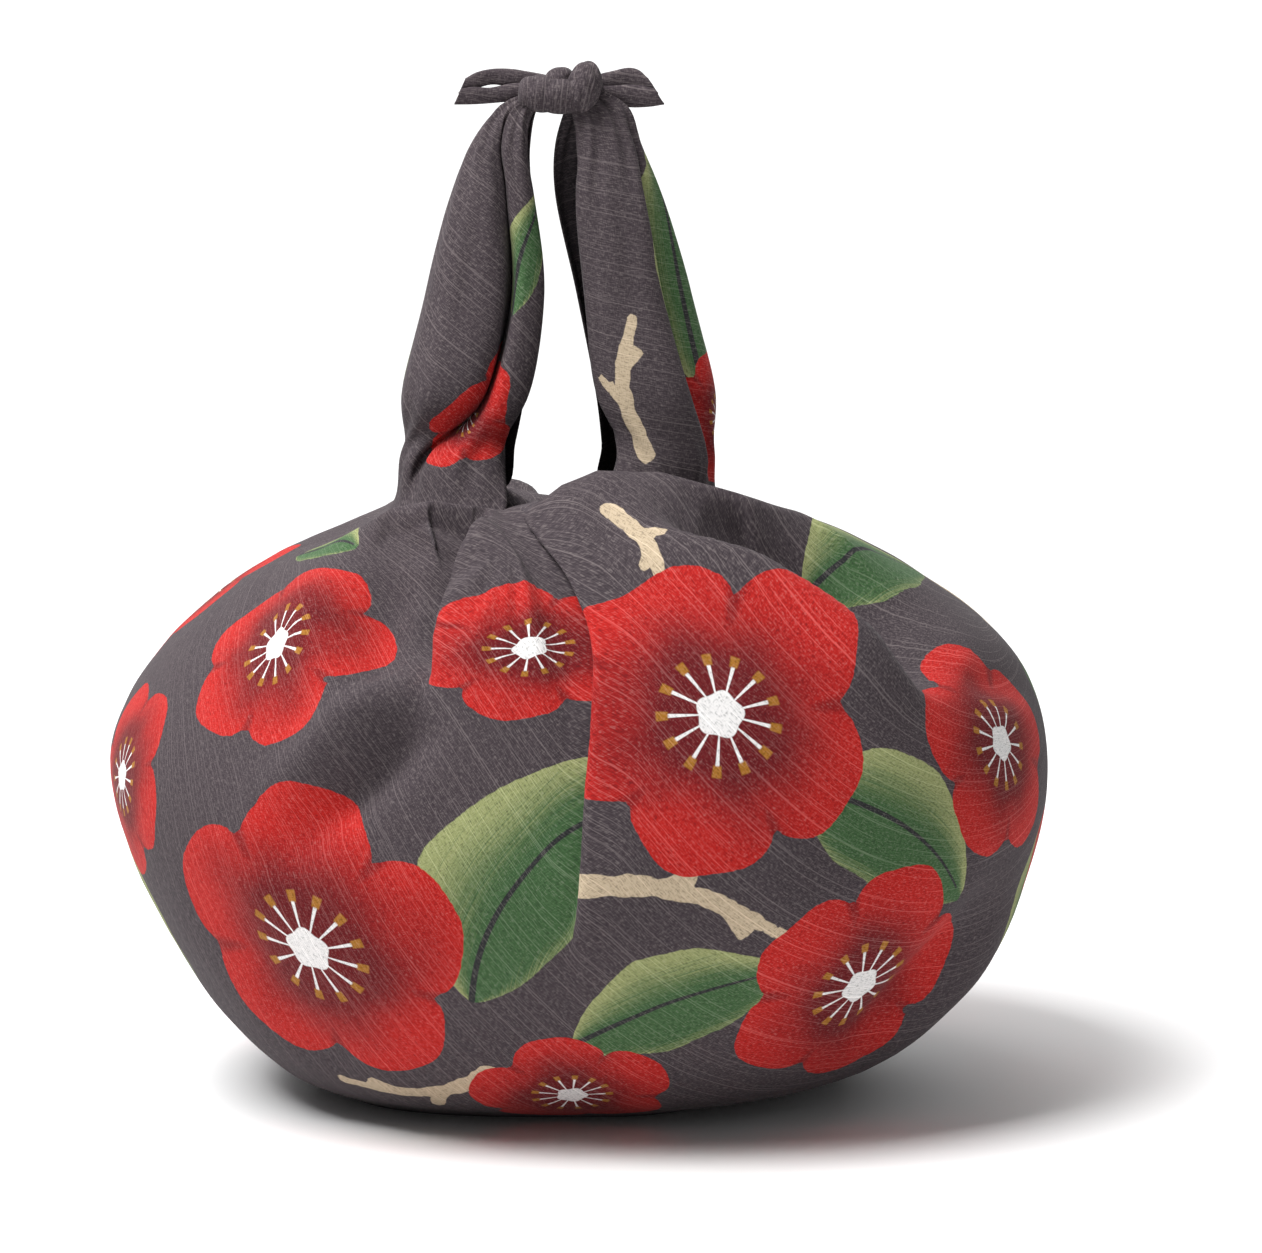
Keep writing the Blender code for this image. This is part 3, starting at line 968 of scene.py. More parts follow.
def grid_normals(grid: np.ndarray, closed: bool) -> np.ndarray:
    """Outward normals of a grid of rows and columns.

    Args:
        grid: rows of points, columns running around.
        closed: whether the last column meets the first.

    Returns:
        One unit normal for each point.
    """
    if closed:
        wide = np.concatenate((grid[:, -1:], grid, grid[:, :1]), axis=1)
        around = wide[:, 2:] - wide[:, :-2]
    else:
        around = np.gradient(grid, axis=1)
    up = np.gradient(grid, axis=0)
    normal = np.cross(around, up)
    return normal / np.maximum(np.linalg.norm(normal, axis=2, keepdims=True), TINY * MM)


@dataclass(frozen=True)
class Humps:
    """Soft uneven humps of the cloth: their height and width in mm, and how slack they are.

    A slackness below 1 draws them out upwards.
    """

    height: float
    width: float
    slackness: float = 1.0
    seed: float = 0.0

    def lift(self, points: np.ndarray, seed: float = 0.0) -> np.ndarray:
        """How far the humps lift each point.

        Args:
            points: points of the cloth, in metres.
            seed: shifts the pattern.

        Returns:
            The lift in mm, up or down.
        """
        scaled = points * (1, 1, self.slackness) / (self.width * MM) + (self.seed + seed)
        return self.height * np.array([noise.noise(Vector(point)) for point in scaled])


@dataclass
class MeshParts:
    """The points, faces and attributes of a mesh while it is put together."""

    points: list[np.ndarray] = field(default_factory=list)
    faces: list[np.ndarray] = field(default_factory=list)
    weave: list[np.ndarray] = field(default_factory=list)
    count: int = 0

    def add_points(self, grid: np.ndarray) -> np.ndarray:
        """Add points.

        Args:
            grid: rows of points.

        Returns:
            The grid of their numbers.
        """
        flat = grid.reshape(-1, 3)
        numbers = np.arange(self.count, self.count + len(flat)).reshape(grid.shape[:-1])
        self.points.append(flat)
        self.count += len(flat)
        return numbers

    def add_quads(self, numbers: np.ndarray, weave: np.ndarray, closed: bool = False) -> None:
        """Add the faces of a grid.

        Args:
            numbers: the grid's point numbers, rows of columns.
            weave: the place in the weave of each point, with one more column if closed.
            closed: whether the last column meets the first.
        """
        if closed:
            numbers = np.concatenate((numbers, numbers[:, :1]), axis=1)
        corners = ((0, 0), (0, 1), (1, 1), (1, 0))
        rows, columns = numbers.shape
        picks = [(slice(r, rows - 1 + r), slice(c, columns - 1 + c)) for r, c in corners]
        self.faces.append(np.stack([numbers[pick] for pick in picks], axis=-1).reshape(-1, 4))
        self.weave.append(np.stack([weave[pick] for pick in picks], axis=-2).reshape(-1, 4, 3))

    def object(
        self, name: str, caps: list[tuple[np.ndarray, np.ndarray]], fields: list[PrintFields]
    ) -> bpy.types.Object:
        """Make the object.

        Args:
            name: its name.
            caps: more faces, each with its point numbers and their places in the weave.
            fields: the print of all points, in order, or nothing for plain cloth.

        Returns:
            The object, with smooth faces.
        """
        faces = np.concatenate(self.faces)
        weave = [np.concatenate(self.weave).reshape(-1, 3)] + [values for _, values in caps]
        mesh = bpy.data.meshes.new(name)
        polygons = faces.tolist() + [numbers.tolist() for numbers, _ in caps]
        mesh.from_pydata(np.concatenate(self.points).tolist(), [], polygons)
        mesh.shade_smooth()
        woven = mesh.attributes.new("weave", "FLOAT_VECTOR", "CORNER")
        woven.data.foreach_set("vector", np.concatenate(weave).ravel())
        if fields:
            for key in ("blossom", "leaf", "twig"):
                layer = mesh.attributes.new(key, "FLOAT", "POINT")
                layer.data.foreach_set("value", np.concatenate([getattr(f, key) for f in fields]))
            for key in ("in_blossom", "in_leaf"):
                layer = mesh.attributes.new(key, "FLOAT_VECTOR", "POINT")
                values = np.concatenate([getattr(f, key) for f in fields])
                layer.data.foreach_set("vector", values.ravel())
        return bpy.data.objects.new(name, mesh)


def thicken(
    cloth: bpy.types.Object, thickness: float, face: bpy.types.Material, reverse: bpy.types.Material
) -> None:
    """Give a sheet its thickness, inwards, and its two sides.

    Args:
        cloth: the sheet.
        thickness: in mm.
        face: the outer side.
        reverse: the inner side.
    """
    cloth.data.materials.append(face)
    cloth.data.materials.append(reverse)
    solid = cloth.modifiers.new("Cloth thickness", "SOLIDIFY")
    solid.thickness = thickness * MM
    solid.offset = -1.0
    solid.material_offset = 1


@dataclass
class SackSheet:
    """The square as it is tied: the full sack, both straps and the turned-in rim.

    Lengths are in mm and angles in degrees, from the right towards the back. The flap is
    the right part of the front, which laps over the middle panel from flap_angle on; its
    edge bows to the right by flap_bow, and its lip has the width flap_roll.
    """

    centre_x: float = -4.0
    strap_half_angle: float = 50.0
    strap_columns: int = 80
    back_columns: int = 48
    # The front's columns, closest at the flap: from which angle on, and how many
    front_bands: tuple[tuple[float, int], ...] = ((230, 19), (252, 62), (283, 34))
    # How many rows lie between two rings, two strap sections and two turns of the tuck
    body_steps: tuple[int, ...] = (10, 14, 18, 16, 14, 20, 20)
    strap_steps: tuple[int, ...] = (8, 9, 12, 12, 8, 7, 3)
    tuck_steps: tuple[int, ...] = (4, 6)
    thickness: float = 0.7
    # Where a strap isn't folded its section is a plain curve, which turns this far each way
    plain_turn: float = 90.0
    fold_room: float = 40.0
    front_pucker: tuple[float, float, float] = (-26.0, -64.0, 243.0)
    back_pucker: tuple[float, float, float] = (-6.0, 62.0, 232.0)
    # How far down and how far inwards the rim is turned
    tuck: tuple[tuple[float, float], ...] = ((6.0, 7.0), (18.0, 10.0))
    flap_angle: float = 270.0
    flap_sink: float = 9.0
    flap_fade_angle: float = 12.0
    flap_roll: float = 7.0
    flap_turn: float = 3.0
    flap_bow: float = 15.0
    # The heights over which the flap's lip, its depth and its bow begin, and the bow ends
    flap_turns: tuple[float, float] = (70.0, 165.0)
    flap_sinks: tuple[float, float] = (40.0, 170.0)
    flap_bows: tuple[float, float] = (50.0, 200.0)
    flap_unbows: tuple[float, float] = (254.0, 200.0)
    # How much cloth, and so how much of the print, lies out of sight under the flap
    hidden_cloth: float = 24.0
    hidden_reach: float = 55.0
    weft_angle: float = 52.0
    right_weft_angle: float = 13.0
    left_weft_angle: float = 35.0
    # The heights between which the yarns of the two halves are brought together
    drawn_together: tuple[float, float] = (240.0, 100.0)
    # The gathers around the puckers: their height, and how many there are of each kind
    gather_height: float = 1.5
    gather_reach: float = 55.0
    gather_start: tuple[float, float] = (6.0, 22.0)
    gathers: tuple[Wave, ...] = (Wave(11, 1.0, 0.6), Wave(17, 0.7, 2.0), Wave(6, 0.5, 0.0))
    large_humps: Humps = Humps(0.9, 52, 0.8, 3.1)
    small_humps: Humps = Humps(0.45, 19, 1.0, 8.7)
    strap_humps: Humps = Humps(0.5, 14, 0.35)
    # How many long creases run up a strap, and how many finer ones
    strap_creases: int = 9
    fine_creases: int = 15
    rings: tuple[Ring, ...] = (
        Ring("contact", 0, 66, 0, 72, 0, 96, 0, 72, 2.8),
        Ring("underside", 16, 134, 16, 118, 13, 124, 16, 114, 2.3),
        Ring("lower flank", 56, 177, 52, 151, 50, 158, 52, 148, 2.15),
        Ring("widest", 126, 201, 118, 175, 140, 193, 112, 175, 2.15),
        Ring("upper flank", 177, 191, 178, 157, 186, 171, 184, 160, 2.15),
        Ring("shoulder", 212, 153, 218, 122, 222, 125, 232, 124, 2.15),
    )
    crest: tuple[CrestPoint, ...] = (
        CrestPoint(0, 94, 6, 240),
        CrestPoint(22, 90, 40, 238),
        CrestPoint(45, 68, 72, 237),
        CrestPoint(70, 34, 88, 240),
        CrestPoint(90, 0, 88, 236),
        CrestPoint(110, -36, 86, 241),
        CrestPoint(135, -72, 70, 240),
        CrestPoint(160, -90, 38, 236),
        CrestPoint(180, -93, 0, 234),
        CrestPoint(202, -90, -38, 240),
        CrestPoint(225, -76, -68, 253),
        CrestPoint(245, -60, -80, 258),
        CrestPoint(258, -42, -79, 256),
        CrestPoint(266, -31, -75, 253),
        CrestPoint(271, -17, -75, 256),
        CrestPoint(277, -6, -72, 264),
        CrestPoint(287, 8, -66, 269),
        CrestPoint(302, 33, -62, 268),
        CrestPoint(320, 64, -60, 259),
        CrestPoint(340, 90, -34, 248),
    )
    left_strap: tuple[StrapStation, ...] = (
        StrapStation(246, -32, -78, 52, 2, 0.60, 12, 0.0),
        StrapStation(268, -26, -77, 38, 1, 0.52, 14, 0.4),
        StrapStation(292, -20, -73, 29, 1, 0.36, 12, 1.0),
        StrapStation(334, -13, -63, 22, 0, 0.30, 9, 1.0),
        StrapStation(377, -18, -52, 16, 0, 0.34, 6, 1.0),
        StrapStation(396, -19, -45, 13, 0, 0.40, 3, 0.8),
        StrapStation(412, -16, -33, 9, 0, 0.45, 0, 0.3),
        StrapStation(418, -8, -20, 5, 0, 0.50, 0, 0.0),
    )
    right_strap: tuple[StrapStation, ...] = (
        StrapStation(246, 10, 60, 50, 4, 0.72, 6, 0.0),
        StrapStation(268, 10, 60, 38, 4, 0.74, 7, 0.5),
        StrapStation(292, 8, 57, 30, 3, 0.76, 7, 1.0, -0.06),
        StrapStation(334, 0, 47, 23, 2, 0.73, 6, 1.0, 0.0),
        StrapStation(377, -9, 34, 17, 1, 0.80, 3, 1.0, 0.15),
        StrapStation(396, -9, 28, 13, 1, 0.80, 0, 0.8, 0.20),
        StrapStation(412, -5, 22, 9, 1, 0.80, 0, 0.3),
        StrapStation(419, -3, 9, 5, 1, 0.80, 0, 0.0),
    )
    left_section: tuple[Turn, ...] = (
        Turn(False, 0.20, -0.30),
        Turn(False, 0.02, -0.62),
        Turn(False, 0.08, -0.92),
        Turn(True, -3.4, -1.00),
        Turn(True, -0.8, -0.86, 0.2),
        Turn(True, 0.2, -0.62, 1),
        Turn(True, 1.4, -0.88, 0.2),
        Turn(True, 5.0, -1.04),
        Turn(False, 0.80, -0.98),
        Turn(False, 0.98, -0.55),
        Turn(False, 1.00, 0.10),
        Turn(False, 0.88, 0.66),
        Turn(False, 0.52, 0.98),
        Turn(False, 0.12, 0.86),
        Turn(False, 0.04, 0.45),
    )
    right_section: tuple[Turn, ...] = (
        Turn(False, 0.24, -0.34),
        Turn(False, 0.06, -0.66),
        Turn(False, 0.20, -0.96),
        Turn(False, 0.46, -1.02),
        Turn(True, -5.0, -0.98),
        Turn(True, 0.5, -0.90),
        Turn(True, 1.6, -0.76, 0.2),
        Turn(True, -2.4, -0.58, 0.5),
        Turn(True, 3.4, -0.42),
        Turn(False, 0.99, -0.12),
        Turn(False, 0.98, 0.28),
        Turn(False, 0.80, 0.74),
        Turn(False, 0.42, 0.96),
        Turn(False, 0.04, 0.78),
        Turn(False, -0.02, 0.36),
    )
    folds: tuple[Fold, ...] = (
        Fold("shoulder ridge", F, 10, 258, 80, 230, 142, 178, 7, 9, 18),
        Fold("shoulder trough", F, 50, 262, 106, 238, 160, 184, -17, 14, 9),
        Fold("rear roll", F, 60, 276, 124, 256, 176, 198, 13, 10, 11),
        Fold("left panel crease", F, -40, 250, -56, 228, -63, 186, -7, 8, 16),
        Fold("left panel ridge", F, -58, 200, -84, 186, -130, 142, 11, 14, 8),
        Fold("left panel trough", F, -54, 182, -76, 164, -120, 122, -12, 8, 15),
        Fold("left outer trough", F, -64, 254, -92, 226, -76, 190, -11, 10, 13),
        Fold("left top ridge", F, -112, 236, -106, 206, -92, 172, 8, 14, 14),
        Fold("lower right ridge", F, 190, 92, 160, 50, 118, 20, 5, 9, 13),
        Fold("lower right trough", F, 174, 104, 146, 64, 106, 34, -9, 14, 9),
        Fold("right edge crease", F, 158, 190, 182, 180, 200, 166, -6, 9, 6),
        Fold("lower left trough", F, -150, 110, -132, 62, -88, 24, -4, 15, 12),
        Fold("centre panel roll", F, -26, 246, -20, 222, -12, 196, 2.5, 5, 7),
        Fold("left gather", F, -52, 252, -92, 232, -126, 196, 3, 8, 12),
        Fold("right gather", F, 34, 252, 84, 208, 132, 132, -4, 14, 10),
        Fold("right low gather", F, 60, 150, 84, 112, 92, 70, 2, 16, 12),
        Fold("back shoulder ridge", B, -20, 246, -70, 222, -130, 178, 7, 12, 16),
        Fold("back shoulder trough", B, -16, 226, -56, 196, -104, 156, -5, 13, 16),
        Fold("back right crease", B, 14, 232, 44, 200, 62, 150, -5, 14, 11),
        Fold("back right ridge", B, 34, 236, 80, 206, 124, 160, 6, 12, 16),
        Fold("back low trough", B, -120, 90, -90, 50, -50, 26, -3, 16, 16),
    )
    pleats: tuple[Pleat, ...] = (
        Pleat("left pleat", F, -34, 254, -52, 242, -61, 180, 1, 5, 13, 26, 6.0, 2.6, 0.35),
        Pleat("shoulder pleat", F, 20, 256, 92, 229, 152, 174, -1, 7, 18, 15, 8, 3.0, 0.35, 0.4),
        Pleat("back pleat", B, -10, 240, -60, 224, -112, 176, -1, 3, 5, 20, 7, 2.4, 0.6),
    )

    def angles(self) -> np.ndarray:
        """Directions of the columns.

        Returns:
            Angles in degrees, from the right strap's front edge on.
        """
        half = self.strap_half_angle
        span = 180 - 2 * half
        turns = np.arange(self.strap_columns) / self.strap_columns
        right = -half + 2 * half * turns
        back = half + span * np.arange(self.back_columns) / self.back_columns
        ends = [start for start, _ in self.front_bands[1:]] + [360 - half]
        front = [
            np.linspace(start, end, count, endpoint=False)
            for (start, count), end in zip(self.front_bands, ends)
        ]
        return np.concatenate((right, back, right + 180, *front))

    def crest_points(self, angles: np.ndarray) -> np.ndarray:
        """The top of the bulge around the mouth.

        Args:
            angles: directions in degrees.

        Returns:
            One point in metres for each direction.
        """
        table = np.array([(c.angle, c.x, c.y, c.z) for c in self.crest])
        wanted = angles % 360
        columns = [np.interp(wanted, table[:, 0], table[:, k], period=360) for k in (1, 2, 3)]
        return np.column_stack(columns) * MM

    def section_points(self, strap: StrapStation, section: tuple[Turn, ...]) -> np.ndarray:
        """The turns of one section of a strap.

        Args:
            strap: where the section is and how wide.
            section: its turns, from the front hem to the back one.

        Returns:
            One point in metres for each turn.
        """
        width = strap.outer - strap.inner
        points = []
        for count, turn in enumerate(section):
            across = turn.across
            if turn.at_fold:
                across = strap.fold + across / max(abs(width), self.fold_room)
            elif turn.depth < 0:
                across += strap.bare * (1 - min(1.0, across / 0.5))
            depth = turn.depth * strap.depth + turn.sunk * strap.fold_depth
            angle = math.radians(self.plain_turn * (2 * count / (len(section) - 1) - 1))
            plain_depth = math.sin(angle) * strap.depth
            across = math.cos(angle) + (across - math.cos(angle)) * strap.folded
            depth = plain_depth + (depth - plain_depth) * strap.folded
            points.append((strap.inner + across * width, strap.middle_y + depth, strap.z))
        return np.array(points) * MM

    def strap_grid(self, strap: tuple[StrapStation, ...], section: tuple[Turn, ...]) -> np.ndarray:
        """All sections of a strap, with one point for every column."""
        shares = np.linspace(0, 1, self.strap_columns + 1)
        return np.stack([resampled(self.section_points(row, section), shares) for row in strap])

    def base_grids(self) -> tuple[np.ndarray, np.ndarray, np.ndarray]:
        """The smooth sheet before its folds.

        Returns:
            The sack's grid, and the grids of the right and of the left strap.
        """
        angles = self.angles()
        first, last = self.right_end, self.left_start
        rows = [ring.points(angles, self.centre_x) for ring in self.rings]
        body = np.stack(rows + [self.crest_points(angles)])
        right = self.strap_grid(self.right_strap, self.right_section)
        left = self.strap_grid(self.left_strap, self.left_section)[:, ::-1]
        span = 180 - 2 * self.strap_half_angle
        fronts = (angles[self.left_end:] - angles[self.left_end]) / span
        backs = np.arange(self.back_columns) / self.back_columns
        pucker = np.array(self.front_pucker) * MM
        front_rim = resampled(np.array((left[0, -1], pucker, right[0, 0])), fronts)
        pucker = np.array(self.back_pucker) * MM
        back_rim = resampled(np.array((right[0, -1], pucker, left[0, 0])), backs)
        neck = np.concatenate((right[0, :-1], back_rim, left[0, :-1], front_rim))
        body = np.concatenate((body, neck[None]))
        steps = list(self.body_steps)
        grid = spline_rows(body, steps)
        full = steps + list(self.strap_steps)
        right_full = spline_rows(np.concatenate((body[:-1, :first + 1], right)), full)
        left_full = spline_rows(np.concatenate((body[:-1, last:self.left_end + 1], left)), full)
        split = sum(steps)
        grid[:, :first + 1] = right_full[:split + 1]
        grid[:, last:self.left_end + 1] = left_full[:split + 1]
        grid[..., 2] = np.maximum(grid[..., 2], 0)
        return grid, right_full[split:], left_full[split:]

    @property
    def right_end(self) -> int:
        """The number of the column at the right strap's back edge."""
        return self.strap_columns

    @property
    def left_start(self) -> int:
        """The number of the column at the left strap's back edge."""
        return self.strap_columns + self.back_columns

    @property
    def left_end(self) -> int:
        """The number of the column at the left strap's front edge."""
        return self.left_start + self.strap_columns

    @property
    def front_middle(self) -> int:
        """The number of the column in the middle of the front, at the flap's edge."""
        return int(np.abs(self.angles() - self.flap_angle).argmin())

    @property
    def back_middle(self) -> int:
        """The number of the column in the middle of the back."""
        return self.right_end + self.back_columns // 2

    def lay_flap(self, grid: np.ndarray) -> tuple[np.ndarray, np.ndarray]:
        """Lay the right part of the front over the middle panel, as one back-and-forth fold.

        Args:
            grid: the smooth sack.

        Returns:
            The sack with the flap, and the places that its print is laid out on.
        """
        start = self.left_end
        middle = self.front_middle
        front = grid[:, start:]
        step = np.linalg.norm(np.diff(front, axis=1), axis=2)
        way = np.concatenate((np.zeros((len(grid), 1)), np.cumsum(step, axis=1)), axis=1)
        height = grid[:, middle, 2:3] / MM
        bow = self.flap_bow * smooth(*self.flap_unbows, height) * smooth(*self.flap_bows, height)
        way -= way[:, middle - start:middle - start + 1] + bow * MM
        tangent = np.gradient(front, axis=1)
        tangent /= np.maximum(np.linalg.norm(tangent, axis=2, keepdims=True), TINY)
        rows = np.arange(len(grid))[:, None]
        top = smooth(len(grid) - 2, len(grid) - 11, rows)
        turned = smooth(*self.flap_turns, height) * top
        sunk = smooth(*self.flap_sinks, height) * smooth(len(grid) - 1, len(grid) - 5, rows)
        roll = self.flap_roll * MM
        shift = -self.flap_turn * turned * way * np.exp(-(way / roll) ** 2)
        beside = np.maximum(self.flap_angle - self.angles()[start:], 0)
        fade = np.exp(-beside / self.flap_fade_angle)
        back = self.flap_sink * MM * sunk * fade * smooth(roll * 1.1, -roll * 0.9, way)
        flapped = grid.copy()
        flapped[:, start:] += shift[..., None] * tangent
        flapped[:, start:, 1] += back
        printed = grid.copy()
        hidden = self.hidden_cloth * MM * turned * (way < 0)
        printed[:, start:, 0] -= hidden * np.exp(-((way / (self.hidden_reach * MM)) ** 2))
        return flapped, printed

    def wrinkles(self, points: np.ndarray, normals: np.ndarray, calm: np.ndarray) -> np.ndarray:
        """Small gathers around the two puckers, and the unevenness of a full soft bag.

        Args:
            points: points of the sack.
            normals: their normals.
            calm: the share of the gathers that each point takes, less beside the flap.

        Returns:
            How far each point is lifted, in metres.
        """
        lift = self.large_humps.lift(points) + self.small_humps.lift(points)
        for pucker, side in ((self.front_pucker, Side.FRONT), (self.back_pucker, Side.BACK)):
            offset = points[:, [0, 2]] - np.array((pucker[0], pucker[2])) * MM
            away = np.linalg.norm(offset, axis=1) / MM
            angle = np.arctan2(offset[:, 1], offset[:, 0])
            wave = sum(w.height * np.cos(w.count * angle + w.start) for w in self.gathers)
            reach = smooth(*self.gather_start, away) * np.exp(-away / self.gather_reach)
            facing = np.clip(2 * side.value * normals[:, 1], 0, 1)
            lift += self.gather_height * calm * wave * reach * facing
        return lift * MM * smooth(0.0, 0.02, points[:, 2])

    def folded(self, grid: np.ndarray) -> np.ndarray:
        """Press the folds into the sack.

        Args:
            grid: the smooth sack with its flap.

        Returns:
            The sack with its gathers, folds and pleats.
        """
        normals = grid_normals(grid, True)
        inner = grid[1:-1].reshape(-1, 3)
        facing = normals[1:-1].reshape(-1, 3)
        beside_flap = np.abs(self.angles() - self.flap_angle - 2)
        calm = np.tile(smooth(3, 12, beside_flap), len(grid) - 2)
        # The bulge's slope down to the mouth faces the other side, and takes no fold of it
        outer = facing.copy()
        outer[:, 1] *= np.clip(inner[:, 1] * np.sign(facing[:, 1]) / (20 * MM), 0, 1)
        lift = self.wrinkles(inner, outer, calm)
        for fold in self.folds:
            lift += fold.rise(inner[:, [0, 2]], outer[:, 1])
        rows = np.arange(1, len(grid) - 1)[:, None]
        edge = smooth(0, 4, rows) * smooth(len(grid) - 1, len(grid) - 7, rows)
        lift = lift.reshape(len(grid) - 2, -1) * edge
        out = grid.copy()
        out[1:-1] += lift[..., None] * normals[1:-1]
        crest = sum(self.body_steps[:-1])
        outside = smooth(crest + 3, crest - 4, rows)
        for pleat in self.pleats:
            moves = pleat.moves(inner, facing).reshape(len(grid) - 2, -1, 3)
            out[1:-1] += moves * outside[..., None]
        out[..., 2] = np.maximum(out[..., 2], 0)
        return out

    def rippled(self, grid: np.ndarray, seed: float) -> tuple[np.ndarray, np.ndarray, np.ndarray]:
        """Long soft creases that run up a strap towards the knot.

        Args:
            grid: the smooth strap.
            seed: shifts the creases.

        Returns:
            The creased strap, and the way around it and up it at each point, in metres.
        """
        around = np.cumsum(np.linalg.norm(np.diff(grid, axis=1), axis=2), axis=1)
        around = np.concatenate((np.zeros((len(grid), 1)), around), axis=1)
        around -= around[:, -1:] / 2
        middle = self.strap_columns // 2
        rises = np.linalg.norm(np.diff(grid[:, middle], axis=0), axis=1)
        up = np.concatenate(([0], np.cumsum(rises)))
        up = np.repeat(up[:, None], grid.shape[1], axis=1) + grid[0, middle, 2]
        share = np.linspace(0, 1, grid.shape[1])[None, :]
        lean = 2.5 * np.sin(up * 22 + seed)
        wave = np.cos(2 * np.pi * share * self.strap_creases + lean + seed)
        wave = wave + 0.6 * np.cos(2 * np.pi * share * self.fine_creases - lean)
        rows = np.arange(len(grid))[:, None] / (len(grid) - 1)
        reach = smooth(0.0, 0.12, rows) * smooth(0, 0.04, share) * smooth(1, 0.96, share)
        tight = 0.35 + 0.5 * smooth(0.55, 0.95, rows) + 0.35 * smooth(0.35, 0.05, rows)
        uneven = self.strap_humps.lift(grid.reshape(-1, 3), seed)
        lift = (wave * tight * 0.8 + uneven.reshape(wave.shape)) * reach * MM
        return grid + lift[..., None] * grid_normals(grid, False), around, up

    def body_weave(self, grid: np.ndarray, columns: np.ndarray, side: Side) -> np.ndarray:
        """Weave coordinates of the front or the back of the sack.

        The yarns run as they would in the flat square, whose middle lies under the sack:
        lengths are true around the middle of each half, and the halves meet at the sides.

        Args:
            grid: the smooth sack.
            columns: the columns of this half, in order.
            side: which half it is.

        Returns:
            The place along the weft and across it in mm, and the patch.
        """
        middles = (self.front_middle, self.back_middle)
        half = grid[:, columns]
        step = np.linalg.norm(np.diff(half, axis=1), axis=2)
        way = np.concatenate((np.zeros((len(grid), 1)), np.cumsum(step, axis=1)), axis=1)
        way -= way[:, list(columns).index(middles[side is Side.BACK])][:, None]
        profile = grid[:, middles].mean(axis=1)
        profile[:, 1] = np.abs(grid[:, middles, 1]).mean(axis=1)
        rise = np.linalg.norm(np.diff(profile, axis=0), axis=1)
        reach = (profile[0, 1] + np.concatenate(([0], np.cumsum(rise))))[:, None]
        ends = np.where(way < 0, -way[:, :1], way[:, -1:])
        drawn_in = (np.pi / 2 - ends / reach) * smooth(*self.drawn_together, profile[:, 2:] / MM)
        turn = way / reach + drawn_in * (way / ends) ** 3
        sign = -side.value
        flat = (sign * reach * np.sin(turn), sign * reach * np.cos(turn))
        return self.woven(*flat, self.weft_angle, Patch.SACK)

    @staticmethod
    def woven(right: np.ndarray, up: np.ndarray, angle: float, patch: int) -> np.ndarray:
        """Turn flat coordinates to the weft.

        Args:
            right: places to the right, in metres.
            up: places up, in metres.
            angle: how much the weft falls to the right.
            patch: the number of the part of the cloth.

        Returns:
            The place along the weft and across it in mm, and the patch.
        """
        cos, sin = math.cos(math.radians(angle)), math.sin(math.radians(angle))
        along = (right * cos - up * sin) / MM
        across = (right * sin + up * cos) / MM
        return np.stack((along, across, np.full_like(along, patch)), axis=-1)

    def tuck_grid(self, neck: np.ndarray) -> np.ndarray:
        """The rim turned in below the neck.

        Args:
            neck: points of the drawn-in rim.

        Returns:
            Rows of points from the neck down.
        """
        side = -np.sign(neck[:, 1])
        rows = [neck]
        for drop, inward in self.tuck:
            shift = np.column_stack((0 * side, side * inward, np.full_like(side, -drop)))
            rows.append(neck + shift * MM)
        return spline_rows(np.stack(rows), list(self.tuck_steps))

    def build(self, face: bpy.types.Material, reverse: bpy.types.Material) -> bpy.types.Object:
        """Make the sheet with its weave and print.

        Args:
            face: the printed side.
            reverse: the other side.

        Returns:
            The sheet, with its real thickness.
        """
        smooth_sack, right, left = self.base_grids()
        flapped, printed = self.lay_flap(smooth_sack)
        sack = self.folded(flapped)
        right, right_around, right_up = self.rippled(right, 1.3)
        left, left_around, left_up = self.rippled(left, 4.2)
        right[0] = sack[-1, :self.right_end + 1]
        left[0] = sack[-1, self.left_start:self.left_end + 1]
        parts = MeshParts()
        fields = []
        numbers = parts.add_points(sack)
        count = sack.shape[1]
        quarter = self.strap_columns // 2
        fronts = np.arange(self.left_start + quarter, count + quarter + 1) % count
        backs = np.arange(quarter, self.left_start + quarter + 1)
        for columns, side in ((fronts, Side.FRONT), (backs, Side.BACK)):
            parts.add_quads(numbers[:, columns], self.body_weave(smooth_sack, columns, side))
        normals = grid_normals(printed, True).reshape(-1, 3)
        fields.append(printed_fields(printed.reshape(-1, 3), normals, SACK_PRINT))
        straps = (
            (right, right_around, right_up, 0, RIGHT_STRAP_PRINT, Patch.RIGHT_STRAP),
            (left, left_around, left_up, self.left_start, LEFT_STRAP_PRINT, Patch.LEFT_STRAP),
        )
        weft_angles = (self.right_weft_angle, self.left_weft_angle)
        for (grid, around, up, start, motifs, patch), angle in zip(straps, weft_angles):
            first = numbers[-1, start:start + self.strap_columns + 1]
            own = np.concatenate((first[None], parts.add_points(grid[1:])))
            parts.add_quads(own, self.woven(around, up, angle, patch))
            flat = np.stack((around, 0 * around, up), axis=-1)[1:].reshape(-1, 3)
            fields.append(printed_fields(flat, np.tile((0.0, -1.0, 0.0), (len(flat), 1)), motifs))
        rims = (
            (np.arange(self.right_end, self.left_start + 1), Patch.BACK_RIM),
            (np.arange(self.left_end, count + 1) % count, Patch.FRONT_RIM),
        )
        for columns, patch in rims:
            grid = self.tuck_grid(sack[-1, columns])
            own = np.concatenate((numbers[-1, columns][None], parts.add_points(grid[1:])))
            parts.add_quads(own, self.woven(grid[..., 0], grid[..., 2], self.weft_angle, patch))
            fields.append(PrintFields.bare(grid[1:, :, 0].size))
        ground = sack[0]
        flat = self.woven(ground[:, 0], -ground[:, 1], self.weft_angle, Patch.UNDERSIDE)
        cloth = parts.object("wrap_sheet", [(numbers[0][::-1], flat[::-1])], fields)
